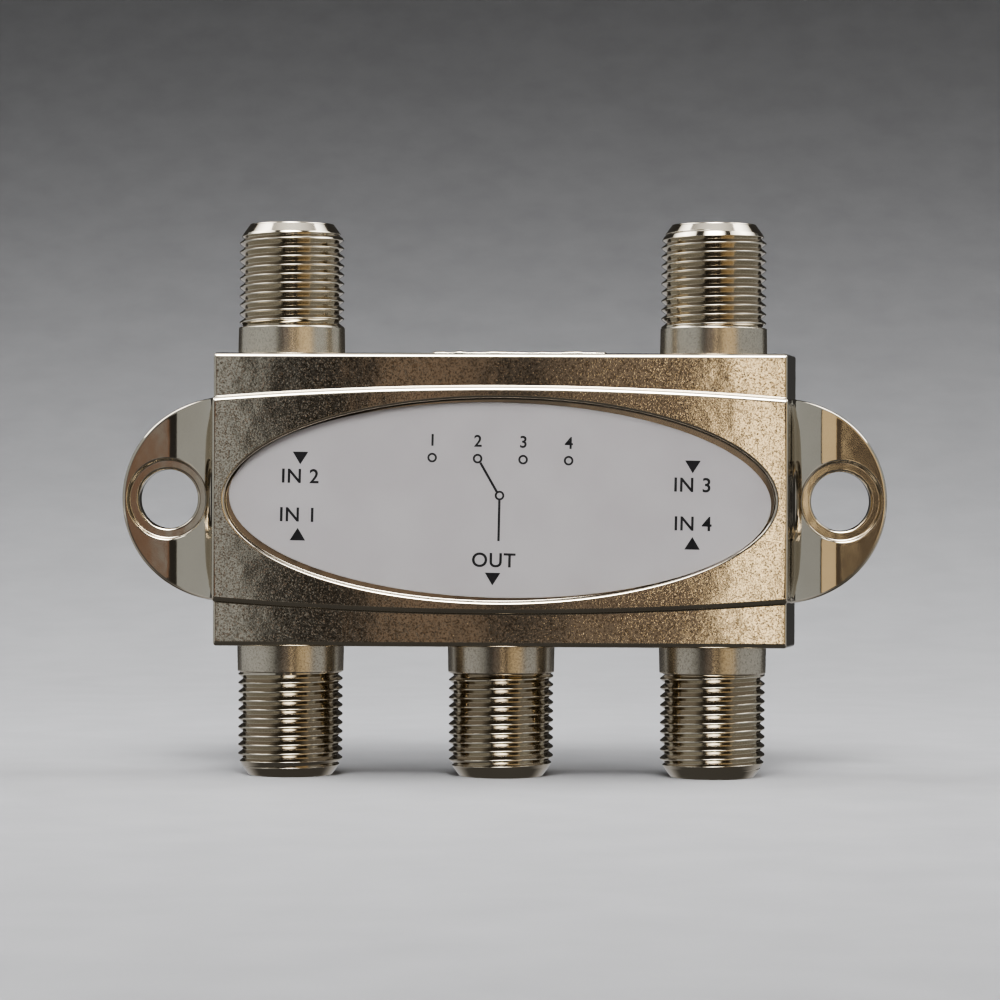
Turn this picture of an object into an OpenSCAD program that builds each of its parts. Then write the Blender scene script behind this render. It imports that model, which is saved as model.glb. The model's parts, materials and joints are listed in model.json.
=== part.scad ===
// Satellite switch: four antenna sockets and one receiver socket on a die-cast case.
// Millimetres. +Z is up, the labelled front faces -Y, and the case stands on its three lower sockets.
// Inside the modules, Y = 0 is the plane of the socket axes and Z = 0 is the middle of the case.

/* [Case] */
// Width of the case at its stepped front face
case_w = 50.4; // [50:0.1:58]
// Height of the case at its stepped front face
case_h = 25.9; // [24.5:0.1:30]
// From the socket axes forward to the stepped front face
case_front = 6.8; // [6.4:0.1:9]
// From the socket axes back to the rear rim
case_back = 8; // [7:0.1:10]
// How far each end leans out between the front face and the rear rim
end_flare = 1.65; // [0.4:0.05:2.4]
// How far the top and the bottom lean out between the front face and the rear rim
top_flare = 0.4; // [0.1:0.05:1]
// Rounding of the case's corners, seen from the front
corner_r = 0.6; // [0.4:0.05:1]
// Rounding of the edges around the front face
front_edge_r = 0.4; // [0.2:0.05:0.6]
// Rounding of the edges around the rear rim
rear_edge_r = 0.3; // [0.1:0.05:0.5]
// Thickness of the cast walls at the front face
wall = 1.7; // [1.4:0.1:1.9]

/* [Raised band] */
// Height of the band's face above the stepped front face
band_step = 1.2; // [0.9:0.1:1.6]
// Height of the band in the middle of the case
band_mid_h = 20.1; // [19.6:0.1:22]
// Height of the band at the case's ends
band_end_h = 18.06; // [16:0.02:19.4]
// Rounding of the band's long edges
band_edge_r = 0.6; // [0.2:0.05:0.6]
// From the rounded front edge back to where the band's ends run out into the case's ends
band_run_out = 0.3; // [0.2:0.05:0.5]

/* [Label] */
// Length of the oval label
label_w = 47.7; // [40:0.1:48]
// Height of the oval label
label_h = 17.2; // [14:0.1:17.4]
// Thickness of the label
label_t = 0.2; // [0.1:0.05:0.4]
// How crooked the label was put on, in degrees
label_tilt = 1.1; // [0:0.1:1.5]
// Least room between the label and the wall of its recess
label_gap = 0.05; // [0.02:0.01:0.1]
// Depth of the label recess below the band's face
recess_depth = 0.8; // [0.5:0.05:1.1]
// Width of the bevelled lip around the recess
recess_lip = 0.35; // [0.1:0.05:0.4]

/* [Ears] */
// How far each ear stands out from the end of the case at the rear rim
ear_out = 8.25; // [7.6:0.05:11]
// Radius of an ear's round outline
ear_r = 9.25; // [8:0.05:11]
// Thickness of an ear
ear_t = 2.6; // [2:0.1:4]
// From the tip of an ear to the middle of its screw hole
ear_hole_in = 4.2; // [4:0.1:4.4]
// Diameter of a screw hole
ear_hole_d = 5.4; // [3:0.1:5.8]
// Diameter of the shallow seat around a screw hole
ear_seat_d = 7.3; // [6.4:0.1:7.6]
// Depth of the seat around a screw hole
ear_seat_depth = 0.6; // [0.3:0.1:1.2]
// Radius of the hollow blend between an ear and the end of the case
ear_blend_r = 4.8; // [3:0.1:5.2]
// Rounding of an ear's edges
ear_edge_r = 0.35; // [0.1:0.05:0.6]

/* [Sockets] */
// From one socket axis to the next
socket_pitch = 19; // [17.5:0.1:20]
// Outer diameter over the thread
socket_d = 9.4; // [9:0.05:9.6]
// Length of a socket barrel outside the case
socket_len = 11.65; // [10:0.05:15]
// Diameter of the plain collar at its root in the case's wall
collar_d = 9.65; // [9.6:0.05:10]
// Length of the plain collar
collar_len = 2.3; // [1.5:0.1:3.5]
// How much the collar's radius shrinks from its root to the thread, so that it leaves its mould
collar_draft = 0.06; // [0.02:0.01:0.1]
// Diameter of a barrel's end, after its lead-in bevel
mouth_d = 7.5; // [7:0.1:8.2]
// Length of the lead-in bevel
bevel_len = 1.3; // [0.6:0.1:2]
// Diameter of the hole that holds the insulator
socket_bore = 6.4; // [6:0.1:6.6]
// Thickness of the cast web that the insulator seats on
web_t = 1; // [0.6:0.1:1.6]

/* [Insulators and contacts] */
// Radial room between an insulator and its barrel
insulator_gap = 0.03; // [0.01:0.01:0.08]
// How far an insulator's face lies inside the barrel's end
insulator_inset = 0.4; // [0:0.1:1]
// Diameter of the entry hole for a cable's centre wire
entry_d = 1.3; // [1.1:0.05:1.6]
// Length of the straight entry hole
entry_len = 1.4; // [0.8:0.1:2]
// Diameter of the funnel that leads into the entry hole
funnel_d = 3; // [2:0.1:4]
// Depth of that funnel
funnel_len = 0.8; // [0.4:0.1:1.2]
// Thickness of the contact strip
strip_t = 0.3; // [0.2:0.05:0.4]
// Width of a contact's spring leaves
leaf_w = 1.4; // [1:0.1:1.6]
// Widest half opening between the spring leaves
leaf_spread = 0.9; // [0.6:0.05:1]
// Half opening of the leaves where they grip the wire
leaf_grip = 0.2; // [0.1:0.05:0.3]
// Length of the spring leaves
leaf_len = 6.5; // [5:0.1:7.5]
// Room between a contact and the pocket in its insulator
contact_gap = 0.05; // [0.02:0.01:0.1]
// Length of the barbed root that holds a contact in its insulator
barb_len = 1.2; // [0.8:0.1:1.6]
// How far the barbed root lies inside the insulator
barb_in = 0.4; // [0.2:0.1:0.8]
// Width of a contact's tail
tail_w = 1.1; // [0.7:0.1:1.3]
// Length of the tail inside the case
tail_len = 2.4; // [2:0.1:3]
// Diameter of the hole in the web around a tail
tail_hole_d = 3; // [2.4:0.1:4]

/* [Rear cover] */
// Thickness of the cover's sheet
cover_t = 0.5; // [0.3:0.05:0.6]
// How far the cover lies below the rear rim
cover_inset = 0.4; // [0.35:0.05:0.8]
// Width of the ledge that the cover rests on
cover_ledge = 0.9; // [0.6:0.05:1]
// Room around the cover in its rebate
cover_gap = 0.1; // [0.05:0.01:0.2]
// Rounding of the cover's corners
cover_r = 1.2; // [0.6:0.1:2]
// Height of the panel pressed out of the cover's middle
cover_press = 0.35; // [0.2:0.05:0.4]
// From the cover's edge to the foot of the pressed panel
cover_border = 3; // [2.4:0.1:5]
// Radius of a stake that is peened over the cover's edge
stake_r = 0.9; // [0.6:0.1:1.2]
// Thickness of a stake
stake_t = 0.25; // [0.1:0.05:0.3]
// From one stake to the next along the long edges
stake_pitch = 15; // [10:0.5:20]

/* [Circuit board] */
// Thickness of the board
board_t = 1.2; // [0.8:0.1:1.6]
// Room around the board in the case
board_gap = 0.25; // [0.1:0.05:0.4]
// Rounding of the board's and the cavity's corners
board_r = 1; // [0.5:0.1:2]
// Width of the ledge that the board rests on
board_ledge = 1.1; // [0.8:0.1:1.5]
// Diameter of the cast bosses under the board
boss_d = 3; // [2.4:0.1:4]
// Diameter of the cast posts through the board
post_d = 1.5; // [1.2:0.1:1.8]
// How far a post stands out of the board
post_out = 0.6; // [0.4:0.1:1]
// Radial room around a post in the board, and around a post in its solder
post_gap = 0.1; // [0.05:0.01:0.15]
// From the board's long edges to the middle of a post
post_edge = 2; // [1.8:0.1:3]
// Diameter of a solder joint on the board
solder_d = 2.6; // [2.2:0.1:3]

/* [Leaded packages] */
// Thickness of a lead
lead_t = 0.18; // [0.12:0.02:0.24]
// How far a lead reaches out of its package
lead_reach = 0.9; // [0.7:0.05:1.2]
// Room between a package and the board
stand_off = 0.1; // [0.05:0.05:0.2]
// Length of the controller chip's body
chip_len = 4.9; // [4.4:0.1:5.4]
// Width of the controller chip's body
chip_w = 3.9; // [3.4:0.1:4.4]
// Height of the controller chip
chip_h = 1.6; // [1.2:0.1:1.8]
// From one lead of the controller chip to the next
chip_pitch = 1.27; // [1:0.01:1.4]
// Width of a lead of the controller chip and of a transistor
fine_lead_w = 0.42; // [0.3:0.02:0.5]
// Length of the voltage regulator's body
regulator_len = 4.5; // [4:0.1:5]
// Width of the voltage regulator's body
regulator_w = 2.5; // [2:0.1:3]
// Height of the voltage regulator
regulator_h = 1.5; // [1.2:0.1:1.8]
// From one lead of the voltage regulator to the next
regulator_pitch = 1.5; // [1.2:0.1:1.8]
// Width of a lead of the voltage regulator
wide_lead_w = 0.5; // [0.4:0.02:0.6]
// Length of a supply transistor's body
transistor_len = 2.9; // [2.6:0.1:3.2]
// Width of a supply transistor's body
transistor_w = 1.3; // [1.1:0.1:1.5]
// Height of a supply transistor
transistor_h = 1.1; // [0.9:0.1:1.3]
// From the middle of a supply transistor to either of its paired leads
transistor_lead = 0.95; // [0.8:0.05:1.1]

/* [Chips and chokes] */
// Length of the smoothing capacitor
tantalum_len = 3.5; // [3:0.1:4]
// Width of the smoothing capacitor
tantalum_w = 2.8; // [2.4:0.1:3.2]
// Height of the smoothing capacitor
tantalum_h = 1.9; // [1.5:0.1:2.3]
// Length of its end caps
tantalum_cap = 0.6; // [0.4:0.1:0.8]
// Length of a resistor
resistor_len = 1.6; // [1.4:0.1:2]
// Width of a resistor
resistor_w = 0.8; // [0.6:0.1:1]
// Height of a resistor
resistor_h = 0.5; // [0.4:0.05:0.6]
// Length of a resistor's end caps
resistor_cap = 0.3; // [0.2:0.05:0.4]
// From one resistor to the next
resistor_pitch = 2.8; // [2.2:0.1:3.2]
// Length of a diode
diode_len = 1.9; // [1.6:0.1:2.2]
// Width of a diode and of a blocking capacitor
chip_part_w = 1.25; // [1:0.05:1.5]
// Height of a diode and of a blocking capacitor
chip_part_h = 0.9; // [0.7:0.05:1.1]
// Length of a diode's end caps
diode_cap = 0.25; // [0.2:0.05:0.4]
// Length of a blocking capacitor
capacitor_len = 2; // [1.8:0.1:2.3]
// Length of a blocking capacitor's end caps
capacitor_cap = 0.35; // [0.2:0.05:0.5]
// Diameter of a choke's flanges
choke_d = 3.2; // [2.8:0.1:3.6]
// Height of a choke
choke_h = 2.1; // [1.8:0.1:2.6]
// Thickness of a choke's flanges
choke_flange = 0.45; // [0.3:0.05:0.6]
// Diameter of a choke's core
choke_core_d = 1.6; // [1.2:0.1:2]
// Diameter of a choke's winding
choke_winding_d = 2.8; // [2.2:0.1:3]

/* [Places on the board] */
// Middle of the controller chip above the middle of the board
chip_z = 2; // [1.5:0.1:3]
// The regulator's and the smoothing capacitor's distance from the middle, to left and right
supply_x = 6.4; // [6:0.1:8]
// Their height above the middle of the board
supply_z = 4.6; // [4:0.1:6]
// The row of resistors' distance below the middle of the board
resistor_z = 3.4; // [3:0.1:4]
// A blocking capacitor's distance from the end of its contact's tail
capacitor_in = 2.4; // [2.2:0.1:3]
// A diode's distance from the end of its socket's tail
diode_in = 5.4; // [4.8:0.1:6]
// A choke's distance from the end of its socket's tail
choke_in = 1.8; // [1.4:0.1:2.4]
// A choke's distance to the side of its socket's axis
choke_x = 4.4; // [4:0.1:5]
// A transistor's distance from the end of its socket's tail
transistor_in = 6; // [5.6:0.1:6.4]
// A transistor's distance to the side of its socket's axis
transistor_x = 4.8; // [4.4:0.1:5.2]

/* [Gate mark] */
// Length of the trimmed gate on top of the case
gate_w = 16; // [10:0.5:20]
// Depth of the gate, front to back
gate_d = 1.6; // [1:0.1:3]
// Height of the gate above the top of the case
gate_h = 0.4; // [0.2:0.05:0.6]
// Middle of the gate, right of the middle of the case
gate_x = 1.5; // [-4:0.1:4]
// Middle of the gate, behind the socket axes
gate_y = 3; // [1:0.1:5]

/* [Hidden] */

// Smoothness of true round surfaces, of hulled corners and of drawn arcs
$fn = 64;
corner_steps = 6;
edge_steps = 4;
arc_steps = 16;
bow_steps = 32;
oval_steps = 96;
// Thickness of a slice that a hull spans, and how far cuts overshoot
slice = 0.01;
over = 1;

// Places along Y
case_depth = case_front + case_back;
band_y = -case_front - band_step;
recess_y = band_y + recess_depth;
cavity_y = -case_front + wall;
cover_seat_y = case_back - cover_inset - cover_t;
board_back_y = -strip_t / 2;
board_front_y = board_back_y - board_t;
ear_y = case_back - ear_t;
// The overall box is centred on Y = 0, so the socket axes move by this much
depth_shift = (case_front + band_step - case_back) / 2;

// Half width and half height of the case at a depth
function end_x(y) = case_w / 2 + end_flare * (y + case_front) / case_depth;
function top_z(y) = case_h / 2 + top_flare * (y + case_front) / case_depth;

// Cavity, board and cover outlines
cavity_w = case_w - 2 * wall;
cavity_h = case_h - 2 * wall;
board_w = cavity_w - 2 * board_gap;
board_h = cavity_h - 2 * board_gap;
rebate_w = cavity_w + 2 * cover_ledge;
rebate_h = cavity_h + 2 * cover_ledge;
cover_w = rebate_w - 2 * cover_gap;
cover_h = rebate_h - 2 * cover_gap;

// Raised band: its ends run out into the case's ends at this depth
band_run_out_y = -case_front + front_edge_r + band_run_out;
band_half_w = end_x(band_run_out_y);
// Its long edges are arcs through the heights at the middle and at the ends
band_sag = (band_mid_h - band_end_h) / 2;
band_bow_r = (band_half_w * band_half_w + band_sag * band_sag) / (2 * band_sag);

// Label recess: an upright oval that clears the crooked label
recess_room = label_gap + (label_w - label_h) / 2 * sin(label_tilt);
recess_a = label_w / 2 + recess_room;
recess_b = label_h / 2 + recess_room;

// Ears
ear_tip_x = end_x(case_back) + ear_out;
ear_mid_x = ear_tip_x - ear_r;
ear_hole_x = ear_tip_x - ear_hole_in;

// Sockets: heights are measured from the middle of the case
socket_foot_z = top_z(0);
socket_end_z = socket_foot_z + socket_len;
web_in_z = cavity_h / 2;
web_out_z = web_in_z + web_t;
ground_z = socket_end_z;

// Each socket has [place along X, +1 for the top row or -1 for the bottom row]
TOP_LEFT = [-socket_pitch, 1];
TOP_RIGHT = [socket_pitch, 1];
BOTTOM_LEFT = [-socket_pitch, -1];
BOTTOM_MIDDLE = [0, -1];
BOTTOM_RIGHT = [socket_pitch, -1];
ANTENNA_SOCKETS = [TOP_LEFT, TOP_RIGHT, BOTTOM_LEFT, BOTTOM_RIGHT];
SOCKETS = concat(ANTENNA_SOCKETS, [BOTTOM_MIDDLE]);

// Insulator and contact
insulator_r = socket_bore / 2 - insulator_gap;
insulator_end_z = socket_end_z - insulator_inset;
entry_out_z = insulator_end_z - funnel_len;
entry_in_z = entry_out_z - entry_len;
pocket_r = norm([leaf_w / 2, leaf_spread + strip_t]) + contact_gap;
barb_w = 2 * sqrt(pow(pocket_r - contact_gap, 2) - pow(strip_t / 2, 2));
barb_z = web_out_z + barb_in;
leaf_foot_z = barb_z + barb_len;
leaf_root = leaf_spread / 6;
tail_end_z = web_in_z - tail_len;

// Places on the board that go with a socket: capacitor, diode, choke and transistor
capacitor_z = tail_end_z - capacitor_in;
diode_z = tail_end_z - diode_in;
choke_z = tail_end_z - choke_in;
transistor_z = tail_end_z - transistor_in;
post_x = socket_pitch / 2;
post_z = board_h / 2 - post_edge;

// Colours
cast_nickel = [0.66, 0.62, 0.55];
tinplate = [0.78, 0.79, 0.8];
label_grey = [0.68, 0.67, 0.69];
bush_white = [0.93, 0.93, 0.9];
contact_tin = [0.8, 0.77, 0.68];
board_green = [0.1, 0.36, 0.2];
chip_black = [0.09, 0.09, 0.1];
solder_grey = [0.72, 0.73, 0.74];
ferrite_grey = [0.2, 0.2, 0.22];
capacitor_tan = [0.66, 0.53, 0.36];
tantalum_yellow = [0.85, 0.65, 0.2];

// Corners of a rectangle with rounded corners, counter-clockwise
function rounded_points(w, h, r) = [
  for (q = [0:3], i = [0:corner_steps])
    let (
      a = 90 * (q + i / corner_steps),
      sx = (q == 0 || q == 3) ? 1 : -1,
      sz = (q < 2) ? 1 : -1
    )
    [sx * (w / 2 - r) + r * cos(a), sz * (h / 2 - r) + r * sin(a)]
];

// Points of an upright oval
function oval_points(a, b) = [
  for (i = [0:oval_steps - 1])
    [a * cos(360 * i / oval_steps), b * sin(360 * i / oval_steps)]
];

// Upper edge of the raised band, an arc, at a distance in from its outline
function bow_z(x, inset) = band_mid_h / 2 - inset - band_bow_r + sqrt(band_bow_r * band_bow_r - x * x);

// Outline of the raised band at a distance in from its edge
function bow_points(inset) =
  let (
    half = band_half_w - inset,
    xs = [for (i = [0:bow_steps]) max(-half, min(half, band_half_w * (1 - 2 * i / bow_steps)))]
  )
  concat([for (x = xs) [x, bow_z(x, inset)]], [for (x = xs) [-x, -bow_z(x, inset)]]);

// A flat outline, drawn in X and Z, carried from one depth to another
module between(y_front, y_back) {
  translate([0, y_back, 0])
    rotate([90, 0, 0])
      linear_extrude(y_back - y_front)
        children();
}

// A thin slice of a flat outline, for a hull to span
module slice_at(y) {
  between(y, y + slice)
    children();
}

// From the middle of the case to the finished part's place, standing on its lower sockets
module placed() {
  translate([0, depth_shift, ground_z])
    children();
}

// Along a socket's own axis, pointing out of the case
module along_socket(s) {
  translate([s[0], 0, 0])
    rotate([s[1] > 0 ? 0 : 180, 0, 0])
      children();
}

// On the back of the board, with the local Z axis pointing away from it
module on_board(x, z) {
  translate([x, board_back_y, z])
    rotate([-90, 0, 0])
      children();
}

// Solid outside of the case: flared walls with rounded corners and edges
module case_block() {
  hull() {
    for (i = [0:edge_steps]) {
      a = 90 * i / edge_steps;
      y = -case_front + front_edge_r * (1 - sin(a));
      in = front_edge_r * (1 - cos(a));
      slice_at(y)
        polygon(rounded_points(2 * (end_x(y) - in), 2 * (top_z(y) - in), corner_r));
    }
    for (step = [[rear_edge_r, 0], [slice, rear_edge_r]]) {
      y = case_back - step[0];
      slice_at(y - (step[1] == 0 ? slice : 0))
        polygon(rounded_points(2 * (end_x(y) - step[1]), 2 * (top_z(y) - step[1]), corner_r));
    }
  }
}

// Raised band across the front, with rounded bowed edges
module raised_band() {
  hull() {
    between(band_y + band_edge_r, band_run_out_y + wall / 2)
      polygon(bow_points(0));
    for (i = [1:edge_steps]) {
      a = 90 * i / edge_steps;
      slice_at(band_y + band_edge_r * (1 - sin(a)))
        polygon(bow_points(band_edge_r * (1 - cos(a))));
    }
  }
}

// Oval recess for the label, with a bevelled lip
module label_recess() {
  between(band_y - over, recess_y)
    polygon(oval_points(recess_a, recess_b));
  hull() {
    slice_at(band_y - slice)
      polygon(oval_points(recess_a + recess_lip, recess_b + recess_lip));
    slice_at(band_y + recess_lip)
      polygon(oval_points(recess_a, recess_b));
  }
}

// Hollow blend between the end of the case and the front of an ear, as a flat outline in X and Y
module blend_outline() {
  lean = atan2(end_flare, case_depth);
  mid_y = ear_y - ear_blend_r;
  mid_x = end_x(mid_y) + ear_blend_r / cos(lean);
  arc = [
    for (i = [0:arc_steps])
      let (a = 180 - lean - (90 - lean) * i / arc_steps)
      [mid_x + ear_blend_r * cos(a), mid_y + ear_blend_r * sin(a)]
  ];
  inner_x = end_x(mid_y) - wall / 2;
  polygon(concat([[inner_x, arc[0][1]]], arc, [[mid_x, ear_y + ear_t / 2], [inner_x, ear_y + ear_t / 2]]));
}

// One screw ear, on the right: a round tab with rounded edges, blended into the end of the case
module ear() {
  translate([ear_mid_x, case_back, 0])
    rotate([90, 0, 0])
      rotate_extrude($fn = 128)
        polygon([
          [0, 0],
          [ear_r - ear_edge_r, 0],
          [ear_r, ear_edge_r],
          [ear_r, ear_t - ear_edge_r],
          [ear_r - ear_edge_r, ear_t],
          [0, ear_t]
        ]);
  intersection() {
    translate([0, 0, -ear_r])
      linear_extrude(2 * ear_r)
        blend_outline();
    translate([ear_mid_x, case_back, 0])
      rotate([90, 0, 0])
        cylinder(r = ear_r - ear_edge_r, h = case_depth, $fn = 128);
  }
}

// Screw hole and its shallow seat, which is also cut through the blend
module ear_hole() {
  translate([ear_hole_x, case_back + over, 0])
    rotate([90, 0, 0])
      cylinder(d = ear_hole_d, h = ear_t + 2 * over);
  translate([ear_hole_x, ear_y + ear_seat_depth, 0])
    rotate([90, 0, 0])
      cylinder(d = ear_seat_d, h = ear_seat_depth + ear_blend_r + over);
}

// Outside of a socket: collar, barrel at the thread's outer diameter and lead-in bevel
module socket_barrel() {
  foot = web_in_z + wall / 2;
  rotate_extrude()
    polygon([
      [0, foot],
      [collar_d / 2, foot],
      [collar_d / 2 - collar_draft, socket_foot_z + collar_len],
      [socket_d / 2, socket_foot_z + collar_len],
      [socket_d / 2, socket_end_z - bevel_len],
      [mouth_d / 2, socket_end_z],
      [0, socket_end_z]
    ]);
}

// Hole for the insulator, down to the web, and the tail's hole through the web
module socket_hole() {
  translate([0, 0, web_out_z])
    cylinder(d = socket_bore, h = socket_end_z - web_out_z + over);
  translate([0, 0, web_in_z - over])
    cylinder(d = tail_hole_d, h = web_t + 2 * over);
}

// Space for the circuit: behind the board's ledge, in front of it, and the cover's rebate
module cavity() {
  between(board_front_y, case_back + over)
    polygon(rounded_points(cavity_w, cavity_h, board_r));
  between(cavity_y, board_front_y + slice)
    polygon(rounded_points(cavity_w - 2 * board_ledge, cavity_h - 2 * board_ledge, board_r));
  between(cover_seat_y, case_back + over)
    polygon(rounded_points(rebate_w, rebate_h, cover_r));
}

// Places of the four posts that hold the board
module at_posts() {
  for (x = [-post_x, post_x], z = [-post_z, post_z])
    translate([x, 0, z])
      children();
}

// A cast boss under the board and its post through the board
module board_post() {
  translate([0, board_front_y, 0])
    rotate([90, 0, 0])
      cylinder(d = boss_d, h = board_front_y - cavity_y + wall / 2);
  translate([0, board_back_y + post_out, 0])
    rotate([90, 0, 0])
      cylinder(d = post_d, h = post_out + board_t + wall / 2);
}

// Peened stakes along the rebate's edge, resting on the cover
module stakes() {
  places = concat(
    [for (x = [-stake_pitch, 0, stake_pitch], z = [-1, 1]) [x, z * rebate_h / 2]],
    [for (x = [-1, 1]) [x * rebate_w / 2, 0]]
  );
  for (p = places)
    translate([p[0], cover_seat_y + cover_t + stake_t, p[1]])
      rotate([90, 0, 0])
        cylinder(r = stake_r, h = stake_t);
}

// Trimmed gate of the casting, on top of the case
module gate_mark() {
  z = top_z(gate_y) - wall / 2;
  translate([gate_x - gate_w / 2, gate_y - gate_d / 2, z])
    cube([gate_w, gate_d, gate_h + wall / 2]);
}

module housing() {
  color(cast_nickel)
    placed() {
      difference() {
        union() {
          case_block();
          raised_band();
          ear();
          mirror([1, 0, 0])
            ear();
          for (s = SOCKETS)
            along_socket(s)
              socket_barrel();
          gate_mark();
        }
        label_recess();
        cavity();
        ear_hole();
        mirror([1, 0, 0])
          ear_hole();
        for (s = SOCKETS)
          along_socket(s)
            socket_hole();
      }
      at_posts()
        board_post();
      stakes();
    }
}

module label() {
  color(label_grey)
    placed()
      rotate([0, label_tilt, 0])
        between(recess_y - label_t, recess_y)
          polygon(oval_points(label_w / 2, label_h / 2));
}

// A drawn panel: a rounded outline that narrows towards its face
module pressed_panel(w, h, y_foot, height) {
  hull() {
    slice_at(y_foot)
      polygon(rounded_points(w, h, cover_r));
    slice_at(y_foot + height - slice)
      polygon(rounded_points(w - 2 * height, h - 2 * height, cover_r - height / 2));
  }
}

module rear_cover() {
  panel_w = cover_w - 2 * cover_border;
  panel_h = cover_h - 2 * cover_border;
  color(tinplate)
    placed()
      difference() {
        union() {
          between(cover_seat_y, cover_seat_y + cover_t)
            polygon(rounded_points(cover_w, cover_h, cover_r - cover_gap));
          pressed_panel(panel_w, panel_h, cover_seat_y + cover_t - slice, cover_press + slice);
        }
        pressed_panel(panel_w - cover_t, panel_h - cover_t, cover_seat_y - slice, cover_press + slice);
      }
}

module circuit_board() {
  color(board_green)
    placed()
      difference() {
        between(board_front_y, board_back_y)
          polygon(rounded_points(board_w, board_h, board_r));
        at_posts()
          translate([0, board_back_y + over, 0])
            rotate([90, 0, 0])
              cylinder(r = post_d / 2 + post_gap, h = board_t + 2 * over);
      }
}

// A cone of solder on the board around a round post
module solder_ring(inner_r, height) {
  rotate_extrude()
    polygon([
      [inner_r, 0],
      [solder_d / 2, 0],
      [(inner_r + solder_d / 2) / 2, height / 3],
      [inner_r + height / 4, height],
      [inner_r, height]
    ]);
}

module ground_solder() {
  color(solder_grey)
    placed()
      for (x = [-post_x, post_x], z = [-post_z, post_z])
        on_board(x, z)
          solder_ring(post_d / 2 + post_gap / 4, post_out * 0.8);
}

// Solder heaped on both sides and round the end of each contact's tail
module contact_solder() {
  heap_h = 1.5 * strip_t;
  color(solder_grey)
    placed()
      for (s = SOCKETS)
        difference() {
          on_board(s[0], s[1] * (tail_end_z + tail_w / 4))
            cylinder(d1 = solder_d * 0.8, d2 = tail_w, h = heap_h);
          along_socket(s)
            translate([-tail_w / 2, board_back_y - over, tail_end_z])
              cube([tail_w, 2 * over + heap_h, tail_len]);
        }
}

// White bush: funnel and entry hole outside, pocket for the contact inside
module insulator(s) {
  color(bush_white)
    placed()
      along_socket(s)
        difference() {
          translate([0, 0, web_out_z])
            cylinder(r = insulator_r, h = insulator_end_z - web_out_z);
          translate([0, 0, entry_out_z])
            cylinder(d1 = entry_d, d2 = funnel_d, h = funnel_len + slice);
          translate([0, 0, entry_in_z - over])
            cylinder(d = entry_d, h = entry_len + 2 * over);
          translate([0, 0, web_out_z - over])
            cylinder(r = pocket_r, h = entry_in_z - web_out_z + over);
        }
}

// One side of a spring leaf: it bows out, grips the wire and flares again.
// Each point is [distance from the wire's axis, share of the leaf's length]
function leaf_side(shift) =
  let (
    flare = (leaf_grip + leaf_spread) / 2,
    path = [[leaf_root, 0], [leaf_spread, 0.22], [leaf_spread, 0.45], [leaf_grip, 0.86], [flare, 1]]
  )
  [for (p = path) [p[0] + shift, leaf_foot_z + p[1] * leaf_len]];

module spring_leaf() {
  inner = leaf_side(0);
  outer = leaf_side(strip_t);
  rotate([90, 0, 90])
    linear_extrude(leaf_w, center = true)
      polygon(concat(inner, [for (i = [len(outer) - 1:-1:0]) outer[i]]));
}

// Spring clip: a tail on the board, a barbed root in the bush and two gripping leaves
module contact(s) {
  color(contact_tin)
    placed()
      along_socket(s) {
        translate([-tail_w / 2, -strip_t / 2, tail_end_z])
          cube([tail_w, strip_t, barb_z - tail_end_z]);
        translate([-barb_w / 2, -strip_t / 2, barb_z])
          cube([barb_w, strip_t, barb_len]);
        translate([-leaf_w / 2, -leaf_root - strip_t, leaf_foot_z - strip_t])
          cube([leaf_w, 2 * (leaf_root + strip_t), 2 * strip_t]);
        spring_leaf();
        mirror([0, 1, 0])
          spring_leaf();
      }
}

// Chip with metal end caps, lying on the board
module end_capped_chip(length, width, height, cap) {
  translate([-length / 2 + cap, -width / 2, 0])
    cube([length - 2 * cap, width, height]);
  for (x = [-length / 2, length / 2 - cap])
    translate([x, -width / 2, 0])
      cube([cap, width, height]);
}

// Gull-wing lead from the side of a package down to the board, pointing along +Y
module gull_lead(side_y, level, width) {
  translate([-width / 2, side_y, 0])
    rotate([90, 0, 90])
      linear_extrude(width)
        polygon([
          [0, level],
          [lead_reach * 0.35, level],
          [lead_reach * 0.5, lead_t],
          [lead_reach, lead_t],
          [lead_reach, 0],
          [lead_reach * 0.4, 0],
          [lead_reach * 0.22, level - lead_t],
          [0, level - lead_t]
        ]);
}

// Moulded package with rows of leads along both long sides
module leaded_package(length, width, height, near_leads, far_leads, lead_w) {
  level = height * 0.55;
  translate([-length / 2, -width / 2, stand_off])
    cube([length, width, height - stand_off]);
  for (x = near_leads)
    translate([x, 0, 0])
      gull_lead(width / 2, level, lead_w);
  for (x = far_leads)
    translate([x, 0, 0])
      mirror([0, 1, 0])
        gull_lead(width / 2, level, lead_w);
}

module controller_chip() {
  leads = [for (i = [-1.5:1:1.5]) i * chip_pitch];
  color(chip_black)
    placed()
      on_board(0, chip_z)
        leaded_package(chip_len, chip_w, chip_h, leads, leads, fine_lead_w);
}

module voltage_regulator() {
  color(chip_black)
    placed()
      on_board(-supply_x, supply_z)
        leaded_package(
          regulator_len, regulator_w, regulator_h,
          [-regulator_pitch, 0, regulator_pitch], [0], wide_lead_w
        );
}

module smoothing_capacitor() {
  color(tantalum_yellow)
    placed()
      on_board(supply_x, supply_z)
        end_capped_chip(tantalum_len, tantalum_w, tantalum_h, tantalum_cap);
}

module resistors() {
  color(chip_black)
    placed()
      for (i = [-3:3])
        on_board(i * resistor_pitch, -resistor_z)
          rotate([0, 0, 90])
            end_capped_chip(resistor_len, resistor_w, resistor_h, resistor_cap);
}

module supply_transistor(s) {
  color(chip_black)
    placed()
      on_board(s[0] - sign(s[0]) * transistor_x, s[1] * transistor_z)
        leaded_package(
          transistor_len, transistor_w, transistor_h,
          [-transistor_lead, transistor_lead], [0], fine_lead_w
        );
}

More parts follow.
